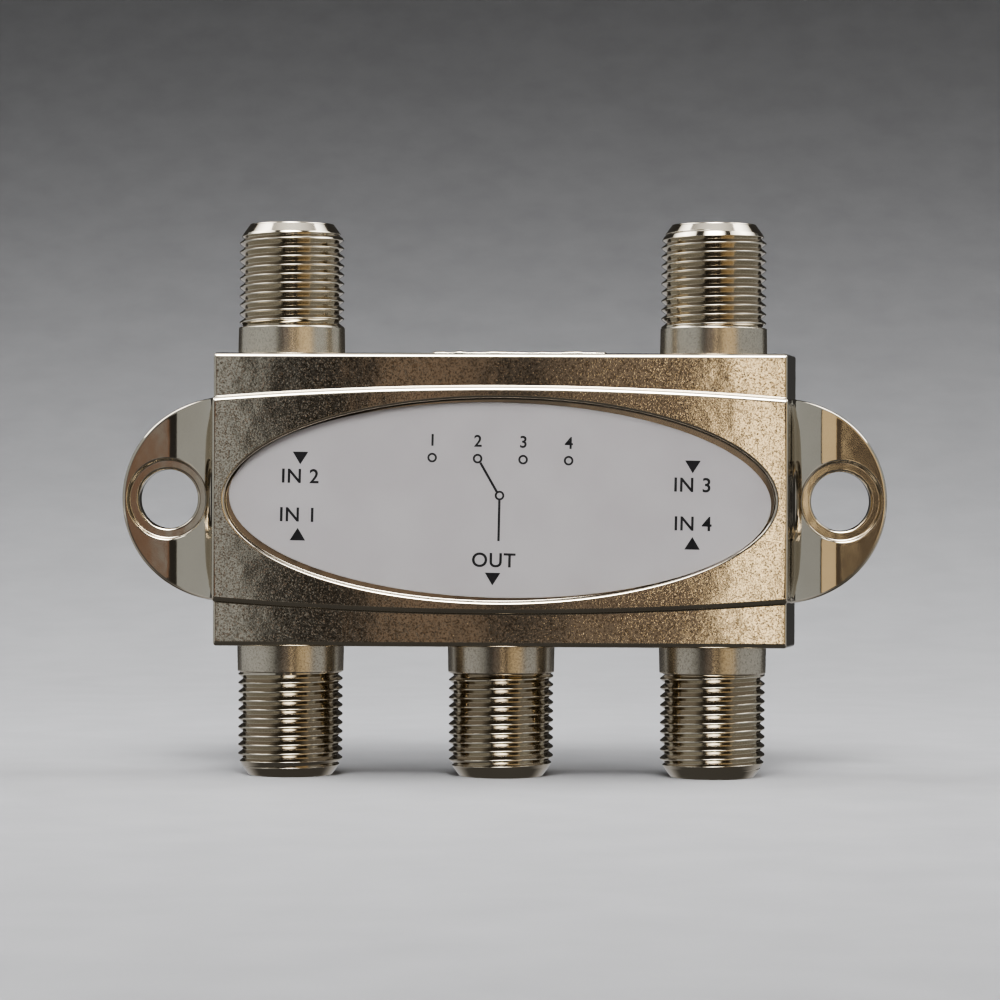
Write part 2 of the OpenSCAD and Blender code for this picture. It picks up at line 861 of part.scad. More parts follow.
module pin_diode(s) {
  color(chip_black)
    placed()
      on_board(s[0], s[1] * diode_z)
        rotate([0, 0, 90])
          end_capped_chip(diode_len, chip_part_w, chip_part_h, diode_cap);
}

// Drum core with its winding between two flanges
module rf_choke(s) {
  color(ferrite_grey)
    placed()
      on_board(s[0] == 0 ? choke_x : s[0] - sign(s[0]) * choke_x, s[1] * choke_z) {
        cylinder(d = choke_d, h = choke_flange);
        cylinder(d = choke_core_d, h = choke_h);
        translate([0, 0, choke_h - choke_flange])
          cylinder(d = choke_d, h = choke_flange);
        translate([0, 0, choke_flange])
          difference() {
            cylinder(d = choke_winding_d, h = choke_h - 2 * choke_flange);
            translate([0, 0, -over])
              cylinder(d = choke_core_d + 2 * slice, h = choke_h + 2 * over);
          }
      }
}

module blocking_capacitor(s) {
  color(capacitor_tan)
    placed()
      on_board(s[0], s[1] * capacitor_z)
        rotate([0, 0, 90])
          end_capped_chip(capacitor_len, chip_part_w, chip_part_h, capacitor_cap);
}

housing();
label();
rear_cover();
circuit_board();
ground_solder();
contact_solder();
insulator(TOP_LEFT);  // insulator_top_left
insulator(TOP_RIGHT);  // insulator_top_right
insulator(BOTTOM_LEFT);  // insulator_bottom_left
insulator(BOTTOM_MIDDLE);  // insulator_bottom_middle
insulator(BOTTOM_RIGHT);  // insulator_bottom_right
contact(TOP_LEFT);  // contact_top_left
contact(TOP_RIGHT);  // contact_top_right
contact(BOTTOM_LEFT);  // contact_bottom_left
contact(BOTTOM_MIDDLE);  // contact_bottom_middle
contact(BOTTOM_RIGHT);  // contact_bottom_right
controller_chip();
voltage_regulator();
smoothing_capacitor();
resistors();
supply_transistor(TOP_LEFT);  // supply_transistor_1
supply_transistor(TOP_RIGHT);  // supply_transistor_2
supply_transistor(BOTTOM_LEFT);  // supply_transistor_3
supply_transistor(BOTTOM_RIGHT);  // supply_transistor_4
pin_diode(TOP_LEFT);  // pin_diode_1
pin_diode(TOP_RIGHT);  // pin_diode_2
pin_diode(BOTTOM_LEFT);  // pin_diode_3
pin_diode(BOTTOM_RIGHT);  // pin_diode_4
rf_choke(TOP_LEFT);  // rf_choke_1
rf_choke(TOP_RIGHT);  // rf_choke_2
rf_choke(BOTTOM_LEFT);  // rf_choke_3
rf_choke(BOTTOM_RIGHT);  // rf_choke_4
rf_choke(BOTTOM_MIDDLE);  // rf_choke_5
blocking_capacitor(TOP_LEFT);  // blocking_capacitor_1
blocking_capacitor(TOP_RIGHT);  // blocking_capacitor_2
blocking_capacitor(BOTTOM_LEFT);  // blocking_capacitor_3
blocking_capacitor(BOTTOM_RIGHT);  // blocking_capacitor_4
blocking_capacitor(BOTTOM_MIDDLE);  // blocking_capacitor_5
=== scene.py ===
import json

import bmesh
import bpy
import numpy as np
from mathutils import Matrix, Vector


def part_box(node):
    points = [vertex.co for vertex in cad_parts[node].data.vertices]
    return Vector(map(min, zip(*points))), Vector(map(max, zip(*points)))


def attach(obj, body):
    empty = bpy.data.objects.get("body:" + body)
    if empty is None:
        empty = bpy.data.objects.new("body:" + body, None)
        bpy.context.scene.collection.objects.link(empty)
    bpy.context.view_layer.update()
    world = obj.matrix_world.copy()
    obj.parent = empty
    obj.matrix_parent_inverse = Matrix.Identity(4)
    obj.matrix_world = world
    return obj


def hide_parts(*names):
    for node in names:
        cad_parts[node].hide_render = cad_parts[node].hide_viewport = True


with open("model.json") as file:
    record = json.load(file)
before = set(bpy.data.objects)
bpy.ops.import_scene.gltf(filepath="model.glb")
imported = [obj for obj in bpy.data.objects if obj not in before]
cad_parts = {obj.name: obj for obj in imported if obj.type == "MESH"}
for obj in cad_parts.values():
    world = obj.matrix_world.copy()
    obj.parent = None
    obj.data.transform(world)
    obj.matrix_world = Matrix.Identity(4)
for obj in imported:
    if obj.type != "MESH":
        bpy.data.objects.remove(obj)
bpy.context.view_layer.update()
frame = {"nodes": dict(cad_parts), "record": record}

# Looks of the satellite switch: a nickel-plated die-casting with five threaded sockets and an oval label.
# Shapes are worked out in millimetres about the middle of the case, with Y = 0 in the plane of the
# socket axes, and row_frame() carries them to the frame's metres.

MM = 0.001
RANDOM_SEED = 7


def box_mm(node):
    """Lowest and highest corner of a CAD node, in millimetres in the row frame."""
    low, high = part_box(node)
    return np.array(low) / MM, np.array(high) / MM


housing_low, housing_high = box_mm("housing")
MIDDLE_Z = (housing_low[2] + housing_high[2]) / 2
MOUNTS = {m["name"]: m for m in frame["record"]["mounts"]}

# Case
CASE_W = 50.4
CASE_H = 25.9
END_FLARE = 1.65
TOP_FLARE = 0.4
BAND_STEP = 1.2
BAND_MID_H = 20.1
BAND_END_H = 18.06
BAND_EDGE_R = 0.5
BAND_FOOT_R = 0.08
FRONT_EDGE_R = 0.42
REAR_EDGE_R = 0.3
END_EDGE_R = 0.22
BAND_Y = housing_low[1]
REAR_Y = housing_high[1]
STEP_Y = BAND_Y + BAND_STEP
CASE_DEPTH = REAR_Y - STEP_Y
BAND_RUN_OUT = 0.7
BAND_RUN_OUT_Y = STEP_Y + BAND_RUN_OUT
# Room behind the case's rear rim: the cover's rebate, its ledge and the space for the board
REBATE_W, REBATE_H, REBATE_R = 48.8, 24.3, 1.2
REBATE_Y = 7.1
REBATE_BREAK = 0.05
CAVITY_W, CAVITY_H, CAVITY_R = 47.0, 22.5, 1.0
BOARD_LEDGE = 1.1
BOARD_SEAT_Y = -1.35
CAVITY_Y = -5.1
# Label recess
RECESS_A = 24.193
RECESS_B = 8.943
RECESS_DEPTH = 0.8
RECESS_LIP_R = 0.26
RECESS_FOOT_R = 0.12
# Ears
EAR_R = 9.25
EAR_T = 2.6
EAR_EDGE_R = 0.3
EAR_REAR_R = 0.25
EAR_BLEND_R = 4.8
EAR_SEAT_R = 3.65
EAR_SEAT_DEPTH = 0.6
EAR_SEAT_LIP = 0.22
EAR_SEAT_FOOT = 0.15
EAR_HOLE_LIP = 0.25
EAR_RAYS = 256
EAR_TIP_X = housing_high[0]
EAR_HOLE_X = MOUNTS["ear_hole_right"]["pos_m"][0] / MM
EAR_HOLE_R = MOUNTS["ear_hole_right"]["dims"]["r_mm"]
# How far an ear runs into the case, and small steps that keep its faces out of the planes of the case's
EAR_ROOT = 0.9
EAR_BACK_Y = REAR_Y - 0.02
EAR_SINK = 0.012
# Sockets
SOCKETS = ["top_left", "top_right", "bottom_left", "bottom_middle", "bottom_right"]
SOCKET_R = MOUNTS["socket_top_left"]["dims"]["r_mm"]
SOCKET_END_Z = housing_high[2] - MIDDLE_Z
SOCKET_LEN = 11.65
SOCKET_FOOT_Z = SOCKET_END_Z - SOCKET_LEN
COLLAR_R = 4.81
COLLAR_TOP_R = 4.765
COLLAR_LEN = 2.3
SOCKET_BORE_R = 3.2
SOCKET_MOUTH_R = 3.75
MOUTH_EDGE_R = 0.12
MOUTH_LAND = 0.06
# Lead-in cone: its foot and its bend below the socket's end, and its radius at the bend
CONE_FOOT, CONE_BEND, CONE_BEND_R = 1.5, 0.85, 4.36
WEB_Z = 12.25
ROOT_Z = 12.0
# Rings of the flat ends, in from their edge and at the axis
END_RING, AXIS_RING = 0.4, 1e-4
# Rows of points below the collar's foot and, in the bore, below the socket's end
FOOT_ROW, BORE_ROW = 0.4, 2
THREADS_PER_INCH = 32
THREAD_PITCH = 25.4 / THREADS_PER_INCH
THREAD_DEPTH = 0.43
THREAD_CREST = 0.11
THREAD_FLANK = 0.33
THREAD_START, THREAD_RUN_IN = 0.02, 0.16
THREAD_ROWS = 28
THREAD_TURN = {
    "top_left": 0.0, "top_right": 0.42,
    "bottom_left": 0.15, "bottom_middle": 0.6, "bottom_right": 0.85,
}
# Close rows beside a fillet, so that shading turns only in the fillet
HOLD = 0.03
# Grain of the nickel: 0 is polished, about a half is satin and 1 is the rough cast face
GRAIN_FACE = 1.0
GRAIN_WALL = 0.55
GRAIN_GATE = 0.5
GRAIN_SATIN = 0.4
GRAIN_EDGE = 0.12
GRAIN_LIP = 0.1
GRAIN_EAR = 0.06


# Mesh tools

def row_frame(points):
    """Points in millimetres about the middle of the case, as metres in the row frame."""
    return (np.asarray(points, float).reshape(-1, 3) + [0, 0, MIDDLE_Z]) * MM


def quads(index, wrap_rows=False, wrap_columns=False):
    """Quads between neighbouring rows and columns of a grid of vertex numbers."""
    if wrap_rows:
        index = np.vstack([index, index[:1]])
    if wrap_columns:
        index = np.hstack([index, index[:, :1]])
    return np.stack([index[:-1, :-1], index[:-1, 1:], index[1:, 1:], index[1:, :-1]], axis=-1)


def build_mesh(name, points, faces, grain=None):
    """A closed mesh from points in millimetres and face arrays, one array for each corner count.

    Unused points are dropped, and faces are turned outwards. grain is a number for each point,
    0 on polished metal and 1 on the rough casting.
    """
    points = np.asarray(points, float).reshape(-1, 3)
    faces = [np.asarray(f).reshape(-1, f.shape[-1]) for f in faces]
    corners = np.concatenate([f.ravel() for f in faces])
    used, corners = np.unique(corners, return_inverse=True)
    counts = np.concatenate([np.full(len(f), f.shape[1]) for f in faces])
    mesh = bpy.data.meshes.new(name)
    mesh.vertices.add(len(used))
    mesh.vertices.foreach_set("co", row_frame(points[used]).ravel())
    mesh.loops.add(len(corners))
    mesh.loops.foreach_set("vertex_index", corners.ravel().astype(np.int32))
    mesh.polygons.add(len(counts))
    mesh.polygons.foreach_set("loop_start", (np.cumsum(counts) - counts).astype(np.int32))
    mesh.polygons.foreach_set("use_smooth", np.ones(len(counts), bool))
    mesh.update(calc_edges=True)
    turned = bmesh.new()
    turned.from_mesh(mesh)
    bmesh.ops.recalc_face_normals(turned, faces=turned.faces)
    turned.to_mesh(mesh)
    turned.free()
    if grain is not None:
        layer = mesh.attributes.new("grain", "FLOAT", "POINT")
        layer.data.foreach_set("value", np.asarray(grain, np.float32).ravel()[used])
    return mesh


def add_piece(mesh, material, node=None):
    """A finished piece at the origin, riding on the part, which may stand for a CAD node."""
    piece = bpy.data.objects.new(mesh.name, mesh)
    bpy.context.scene.collection.objects.link(piece)
    mesh.materials.append(material)
    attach(piece, "root")
    if node:
        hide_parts(node)


def spaced(count, hold):
    """Shares from 0 to 1 in even steps, with one close step at each end."""
    inner = np.linspace(0, 1, count)[1:-1]
    return np.concatenate([[0, hold], inner, [1 - hold, 1]])


# Case

def end_x(y):
    """Half width of the case at a depth: straight along the band's end, then leaning out to the rear."""
    return CASE_W / 2 + END_FLARE * (np.maximum(y, BAND_RUN_OUT_Y) - STEP_Y) / CASE_DEPTH


def top_z(y):
    """Half height of the case at a depth, which leans out to the rear."""
    return CASE_H / 2 + TOP_FLARE * (y - STEP_Y) / CASE_DEPTH


def band_half_h(x):
    """Half height of the raised band: an arc through its heights at the middle and at the ends."""
    half = end_x(BAND_RUN_OUT_Y)
    sag = (BAND_MID_H - BAND_END_H) / 2
    bow = (half ** 2 + sag ** 2) / (2 * sag)
    return BAND_MID_H / 2 - bow + np.sqrt(bow ** 2 - x ** 2)


def run(y0, z0, y1, z1, angle, shares):
    """Points [y, z, normal y, normal z] along a straight run whose outward normal has this angle."""
    y = y0 + (y1 - y0) * shares
    z = z0 + (z1 - z0) * shares
    return np.stack(np.broadcast_arrays(y, z, np.cos(angle), np.sin(angle)), axis=-1)


def fillet(mid_y, mid_z, radius, start, end, count, hollow=False):
    """Points [y, z, normal y, normal z] round a fillet, whose outward normal turns from start to end."""
    angle = np.linspace(start, end, count + 2)[1:-1]
    side = -1 if hollow else 1
    y = mid_y + side * radius * np.cos(angle)
    z = mid_z + side * radius * np.sin(angle)
    return np.stack(np.broadcast_arrays(y, z, np.cos(angle), np.sin(angle)), axis=-1)


def case_profile(half_h):
    """Closed section of the case across X, for a column of band half heights.

    Going from the lower rear edge forward, over the band's face and back to the upper rear edge, it has
    straight runs and fillets, and the rear face closes it. Returns the points [y, z, normal y, normal z]
    as (sections, points, 4), the number of the front's middle point, the numbers of points from there to
    the band's edge and to the fold of the end wall, and the number of the upper rear point.
    """
    front, up, back = np.pi, np.pi / 2, 0.0
    lean = np.arctan2(TOP_FLARE, CASE_DEPTH)
    high = half_h[:, None]
    rear_z = top_z(REAR_Y)
    face = run(BAND_Y, 0 * high, BAND_Y, high - BAND_EDGE_R, front, spaced(24, 0.003))
    pieces = [
        face,
        fillet(BAND_Y + BAND_EDGE_R, high - BAND_EDGE_R, BAND_EDGE_R, front, up, 8),
        run(BAND_Y + BAND_EDGE_R, high, STEP_Y - BAND_FOOT_R, high, up, np.linspace(0, 1, 4)),
        fillet(STEP_Y - BAND_FOOT_R, high + BAND_FOOT_R, BAND_FOOT_R, up, front, 5, hollow=True),
        run(STEP_Y, high + BAND_FOOT_R, STEP_Y, CASE_H / 2 - FRONT_EDGE_R, front, spaced(10, 0.01)),
        fillet(STEP_Y + FRONT_EDGE_R, CASE_H / 2 - FRONT_EDGE_R, FRONT_EDGE_R, front, up + lean, 8),
        run(STEP_Y + FRONT_EDGE_R, top_z(STEP_Y + FRONT_EDGE_R) + 0 * high,
            BAND_RUN_OUT_Y, top_z(BAND_RUN_OUT_Y), up + lean, np.array([0, 0.15, 1])),
        run(BAND_RUN_OUT_Y, top_z(BAND_RUN_OUT_Y) + 0 * high, REAR_Y - REAR_EDGE_R, rear_z,
            up + lean, spaced(14, 0.003)[1:]),
        fillet(REAR_Y - REAR_EDGE_R, rear_z - REAR_EDGE_R, REAR_EDGE_R, up + lean, back, 5),
        run(REAR_Y, rear_z - REAR_EDGE_R + 0 * high, REAR_Y, rear_z - REAR_EDGE_R, back, np.zeros(1)),
    ]
    sections = len(half_h)
    upper = np.concatenate([np.broadcast_to(p, (sections,) + p.shape[-2:]) for p in pieces], axis=1)
    lower = upper[:, ::-1] * [1, -1, 1, -1]
    rear = run(REAR_Y, rear_z - REAR_EDGE_R, REAR_Y, REAR_EDGE_R - rear_z, back, np.linspace(0, 1, 26)[1:-1])
    rear = np.broadcast_to(rear, (sections,) + rear.shape)
    middle = upper.shape[1] - 1
    to_fold = sum(p.shape[-2] for p in pieces[:7]) - 1
    return np.concatenate([lower, upper[:, 1:], rear], axis=1), middle, face.shape[1] - 1, to_fold, 2 * middle


def window(index, first, last, low, high):
    """Vertex numbers round a window of a grid, from row first to last and column low to high, in order."""
    return np.concatenate([
        index[first:last, high],
        index[last, high:low:-1],
        index[last:first:-1, low],
        index[first, low:high],
    ])


def rounded_outline(points, width, height, radius, y):
    """Points of a loop pulled to a rectangle with rounded corners, in the plane Y = y.

    Each point is scaled to the rectangle, held back to the corners' centres and pushed out by the radius.
    """
    flat = points[:, [0, 2]]
    size = np.array([width, height]) / 2
    scaled = flat / np.abs(flat).max(axis=0) * size
    core = np.clip(scaled, radius - size, size - radius)
    away = scaled - core
    away /= np.linalg.norm(away, axis=1, keepdims=True)
    ring = core + radius * away
    return np.stack([ring[:, 0], np.full(len(ring), y), ring[:, 1]], axis=1)


def oval_rings(turn, rings):
    """Ovals in planes of constant Y: one ring of points for each (growth of both half axes, y)."""
    grow, y = np.array(rings).T
    x = (RECESS_A + grow)[:, None] * np.cos(turn)
    z = (RECESS_B + grow)[:, None] * np.sin(turn)
    return np.stack([x, np.broadcast_to(y[:, None], x.shape), z], axis=-1)


def make_case():
    """The case with its band: one section carried along X, narrowed round both ends by a fillet.

    A section at share s of the width lies at x = s times the half width less the fillet. Round an end,
    the section shrinks along its normals by r(1 - cos a) while x grows by r sin a. Windows in the band's
    face and in the rear face are filled with rings that lead into the label recess and the case's inside.
    """
    close = HOLD / 25  # as a share of the half width, which is about 25 mm
    share = np.concatenate([[-1, close - 1], np.linspace(-1, 1, 151)[1:-1], [1 - close, 1]])
    bend = np.linspace(0, np.pi / 2, 9)[1:]
    bend_short = np.append(END_EDGE_R * (1 - np.sin(bend)), 0)
    bend_inset = np.append(END_EDGE_R * (1 - np.cos(bend)), END_EDGE_R + HOLD)
    ends = len(bend_short)
    side = np.concatenate([np.full(ends, -1.0), share, np.full(ends, 1.0)])
    short = np.concatenate([bend_short[::-1], np.full(len(share), END_EDGE_R), bend_short])
    inset = np.concatenate([bend_inset[::-1], np.zeros(len(share)), bend_inset])

    at_x = side * (end_x(BAND_RUN_OUT_Y) - short)
    profile, middle, face_n, fold_n, rear_top = case_profile(band_half_h(at_x))
    y = profile[..., 0] - inset[:, None] * profile[..., 2]
    z = profile[..., 1] - inset[:, None] * profile[..., 3]
    x = side[:, None] * (end_x(y) - short[:, None])
    loft = np.stack([x, y, z], axis=-1)
    stations, around = loft.shape[:2]
    index = np.arange(stations * around).reshape(stations, around)

    first, last = ends, ends + len(share) - 1
    low, high = middle - face_n, middle + face_n
    skin = quads(index, wrap_columns=True)
    keep = np.ones(skin.shape[:2], bool)
    keep[first:last, low:high] = False
    keep[first:last, rear_top:] = False
    wall = np.arange(around)
    front_wall = wall[middle - fold_n:middle + fold_n + 1]
    rear_wall = np.concatenate([wall[middle + fold_n:], wall[:middle - fold_n + 1]])
    faces = [skin[keep], index[[0, -1]][:, front_wall], index[[0, -1]][:, rear_wall]]

    along, level = inset[:, None] == 0, 0.999
    on_face = (np.abs(profile[..., 2]) > level) & along
    on_wall = (np.abs(profile[..., 3]) > level) & along
    grain = np.where(on_face, GRAIN_FACE, np.where(on_wall, GRAIN_WALL, GRAIN_EDGE)).ravel()
    points = loft.reshape(-1, 3)

    rim = window(index, first, last, low, high)
    edge = points[rim]
    turn = np.arctan2(edge[:, 2] / np.abs(edge[:, 2]).max(), edge[:, 0] / np.abs(edge[:, 0]).max())
    lip = np.linspace(0, np.pi / 2, 8)
    recess_y = BAND_Y + RECESS_DEPTH
    lip_rings = [(RECESS_LIP_R * (1 - np.sin(a)), BAND_Y + RECESS_LIP_R * (1 - np.cos(a))) for a in lip]
    foot_rings = [(-RECESS_FOOT_R * (1 - np.cos(a)), recess_y - RECESS_FOOT_R * (1 - np.sin(a))) for a in lip]
    floor_rings = [(-2.0, recess_y), (-5.0, recess_y)]
    ovals = oval_rings(turn, [(RECESS_LIP_R + HOLD, BAND_Y)] + lip_rings + foot_rings + floor_rings)
    across = np.array([0.02, 0.25, 0.5, 0.75])[:, None, None]
    rings = np.concatenate([edge + across * (ovals[0] - edge), ovals])
    recess = np.arange(rings.shape[0] * rings.shape[1]).reshape(rings.shape[:2]) + len(points)
    faces += [quads(np.vstack([rim, recess]), wrap_columns=True), recess[-1:]]
    flat_rings = len(across) + 1
    rough = np.where(np.arange(len(rings)) < flat_rings, GRAIN_FACE, GRAIN_LIP)
    grain = np.concatenate([grain, np.repeat(rough, rings.shape[1])])
    points = np.concatenate([points, rings.reshape(-1, 3)])

    rolled = np.roll(index, -rear_top, axis=1)
    rim = window(rolled, first, last, 0, around - rear_top)
    edge = points[rim]
    inner_w, inner_h = CAVITY_W - 2 * BOARD_LEDGE, CAVITY_H - 2 * BOARD_LEDGE
    outlines = [
        (REBATE_W + 2 * REBATE_BREAK, REBATE_H + 2 * REBATE_BREAK, REBATE_R + REBATE_BREAK, REAR_Y),
        (REBATE_W, REBATE_H, REBATE_R, REAR_Y - REBATE_BREAK),
        (REBATE_W, REBATE_H, REBATE_R, REBATE_Y),
        (CAVITY_W, CAVITY_H, CAVITY_R, REBATE_Y),
        (CAVITY_W, CAVITY_H, CAVITY_R, BOARD_SEAT_Y),
        (inner_w, inner_h, CAVITY_R, BOARD_SEAT_Y),
        (inner_w, inner_h, CAVITY_R, CAVITY_Y),
    ]
    rings = np.stack([rounded_outline(edge, *outline) for outline in outlines])
    inside = np.arange(rings.shape[0] * rings.shape[1]).reshape(rings.shape[:2]) + len(points)
    faces += [quads(np.vstack([rim, inside]), wrap_columns=True), inside[-1:]]
    grain = np.concatenate([grain, np.full(rings.shape[0] * rings.shape[1], GRAIN_SATIN)])
    points = np.concatenate([points, rings.reshape(-1, 3)])
    return build_mesh("housing_case", points, faces, grain)


# Ears

def make_ear(side):
    """A screw ear, as rays round its hole: each ray's closed section makes the ring of the surface.

    A section climbs the hole's wall, crosses the seat, rounds the seat's lip and runs over the face, which
    rises in a hollow quarter round to the case. It then rounds the outline and comes back along the rear.
    """
    ear_y = REAR_Y - EAR_T
    seat_y = ear_y + EAR_SEAT_DEPTH
    mid_x = EAR_TIP_X - EAR_R
    inner_x = end_x(ear_y) - EAR_ROOT
    lean = np.arctan2(END_FLARE, CASE_DEPTH)
    blend_y = ear_y - EAR_BLEND_R
    blend_x = end_x(blend_y) + EAR_BLEND_R / np.cos(lean) - EAR_SINK
    touch_x = blend_x - EAR_BLEND_R * np.cos(lean)
    lip_r = EAR_SEAT_R + EAR_SEAT_LIP

    ray = 2 * np.pi * (np.arange(EAR_RAYS)[:, None] + 0.5) / EAR_RAYS
    ux, uz = np.cos(ray), np.sin(ray)
    inward = np.abs(ux)
    offset = EAR_HOLE_X - mid_x
    inset_r = EAR_R - EAR_EDGE_R
    to_round = -offset * ux + np.sqrt((offset * ux) ** 2 + inset_r ** 2 - offset ** 2)
    to_wall = np.where(ux < 0, (EAR_HOLE_X - inner_x) / inward, np.inf)
    end_r = np.minimum(to_round, to_wall)

    def rise(x):
        """Y of the face at x: the hollow quarter round, level beyond its end and inside the case."""
        reach = np.clip(blend_x - x, 0, EAR_BLEND_R * np.cos(lean))
        return blend_y + np.sqrt(EAR_BLEND_R ** 2 - reach ** 2)

    lip_x, stop_x = EAR_HOLE_X + lip_r * ux, EAR_HOLE_X + end_r * ux
    flat_inward = (np.maximum(lip_x, blend_x) - np.maximum(blend_x, stop_x)) / inward
    flat_len = np.where(ux < 0, flat_inward, end_r - lip_r)
    from_turn = np.arcsin(np.clip((blend_x - lip_x) / EAR_BLEND_R, 0, np.cos(lean)))
    to_turn = np.arcsin(np.clip((blend_x - stop_x) / EAR_BLEND_R, 0, np.cos(lean)))
    blend_len = EAR_BLEND_R * (to_turn - from_turn)
    shelf_len = np.where(ux < 0, np.maximum(touch_x - stop_x, 0) / inward, 0)
    walk = spaced(40, 0.004) * (flat_len + blend_len + shelf_len)
    turn = from_turn + (walk - flat_len) / EAR_BLEND_R
    blend_at = (EAR_HOLE_X - blend_x + EAR_BLEND_R * np.sin(np.clip(turn, 0, np.pi / 2))) / inward
    shelf_at = (EAR_HOLE_X - touch_x) / inward + walk - flat_len - blend_len
    in_blend = (ux < 0) & (walk > flat_len)
    in_shelf = in_blend & (walk > flat_len + blend_len)
    face_r = np.where(in_shelf, shelf_at, np.where(in_blend, blend_at, lip_r + walk))
    face_r[:, -1:] = end_r
    face_y = rise(EAR_HOLE_X + face_r * ux)

    quarter = np.linspace(0, np.pi / 2, 7)
    grow, drop = 1 - np.sin(quarter), 1 - np.cos(quarter)
    bezier = np.linspace(0, 1, 8)[:-1]
    wall_y = rise(EAR_HOLE_X + EAR_SEAT_R * ux)
    lip_y = rise(lip_x)
    begin, bow, stop = (1 - bezier) ** 2, 2 * bezier * (1 - bezier), bezier ** 2
    lip_path_y = begin * (wall_y + EAR_SEAT_LIP) + bow * wall_y + stop * lip_y
    lip_path_r = EAR_SEAT_R + stop * EAR_SEAT_LIP + 0 * ray

    radii = np.concatenate([
        EAR_HOLE_R + EAR_REAR_R * drop[::-1],
        EAR_HOLE_R + EAR_HOLE_LIP * drop,
        [EAR_HOLE_R + EAR_HOLE_LIP + HOLD, EAR_SEAT_R - EAR_SEAT_FOOT - HOLD],
        EAR_SEAT_R - EAR_SEAT_FOOT * grow,
    ]) + 0 * ray
    heights = np.concatenate([
        EAR_BACK_Y - EAR_REAR_R * grow[::-1],
        seat_y + EAR_HOLE_LIP * grow,
        [seat_y, seat_y],
        seat_y - EAR_SEAT_FOOT * drop,
    ]) + 0 * ray
    radii = np.concatenate([radii, lip_path_r, face_r], axis=1)
    heights = np.concatenate([heights, lip_path_y, face_y], axis=1)
    x = EAR_HOLE_X + radii * ux
    z = radii * uz

    end_px, end_pz = EAR_HOLE_X + end_r * ux, end_r * uz
    on_round = to_round <= to_wall
    out_x = np.where(on_round, (end_px - mid_x) / inset_r, -1.0)
    out_z = np.where(on_round, end_pz / inset_r, 0.0)
    edge_grow = np.sin(quarter[1:]) * EAR_EDGE_R
    edge_y = face_y[:, -1:] + EAR_EDGE_R * drop[1:]
    rear_grow = EAR_EDGE_R - EAR_REAR_R * drop
    rear_y = EAR_BACK_Y - EAR_REAR_R * grow + 0 * ray
    back = np.array([0.01, 0.2, 0.4, 0.6, 0.8, 0.99])
    last_grow = EAR_EDGE_R - EAR_REAR_R
    back_x = (end_px + last_grow * out_x) * (1 - back) + x[:, :1] * back
    back_z = (end_pz + last_grow * out_z) * (1 - back) + z[:, :1] * back
    x = np.concatenate([x, end_px + edge_grow * out_x, end_px + rear_grow * out_x, back_x], axis=1)
    z = np.concatenate([z, end_pz + edge_grow * out_z, end_pz + rear_grow * out_z, back_z], axis=1)
    heights = np.concatenate([heights, edge_y, rear_y, EAR_BACK_Y + 0 * back_x], axis=1)
    points = np.stack([side * x, heights, z], axis=-1)
    index = np.arange(points.shape[0] * points.shape[1]).reshape(points.shape[:2])
    grain = np.full(index.size, GRAIN_EAR)
    name = "housing_ear_right" if side > 0 else "housing_ear_left"
    return build_mesh(name, points, [quads(index, wrap_rows=True, wrap_columns=True)], grain)


# Sockets

def smooth_step(low, high, value):
    """0 below low, 1 above high, and 3t^2 - 2t^3 between."""
    t = np.clip((value - low) / (high - low), 0, 1)
    return t * t * (3 - 2 * t)


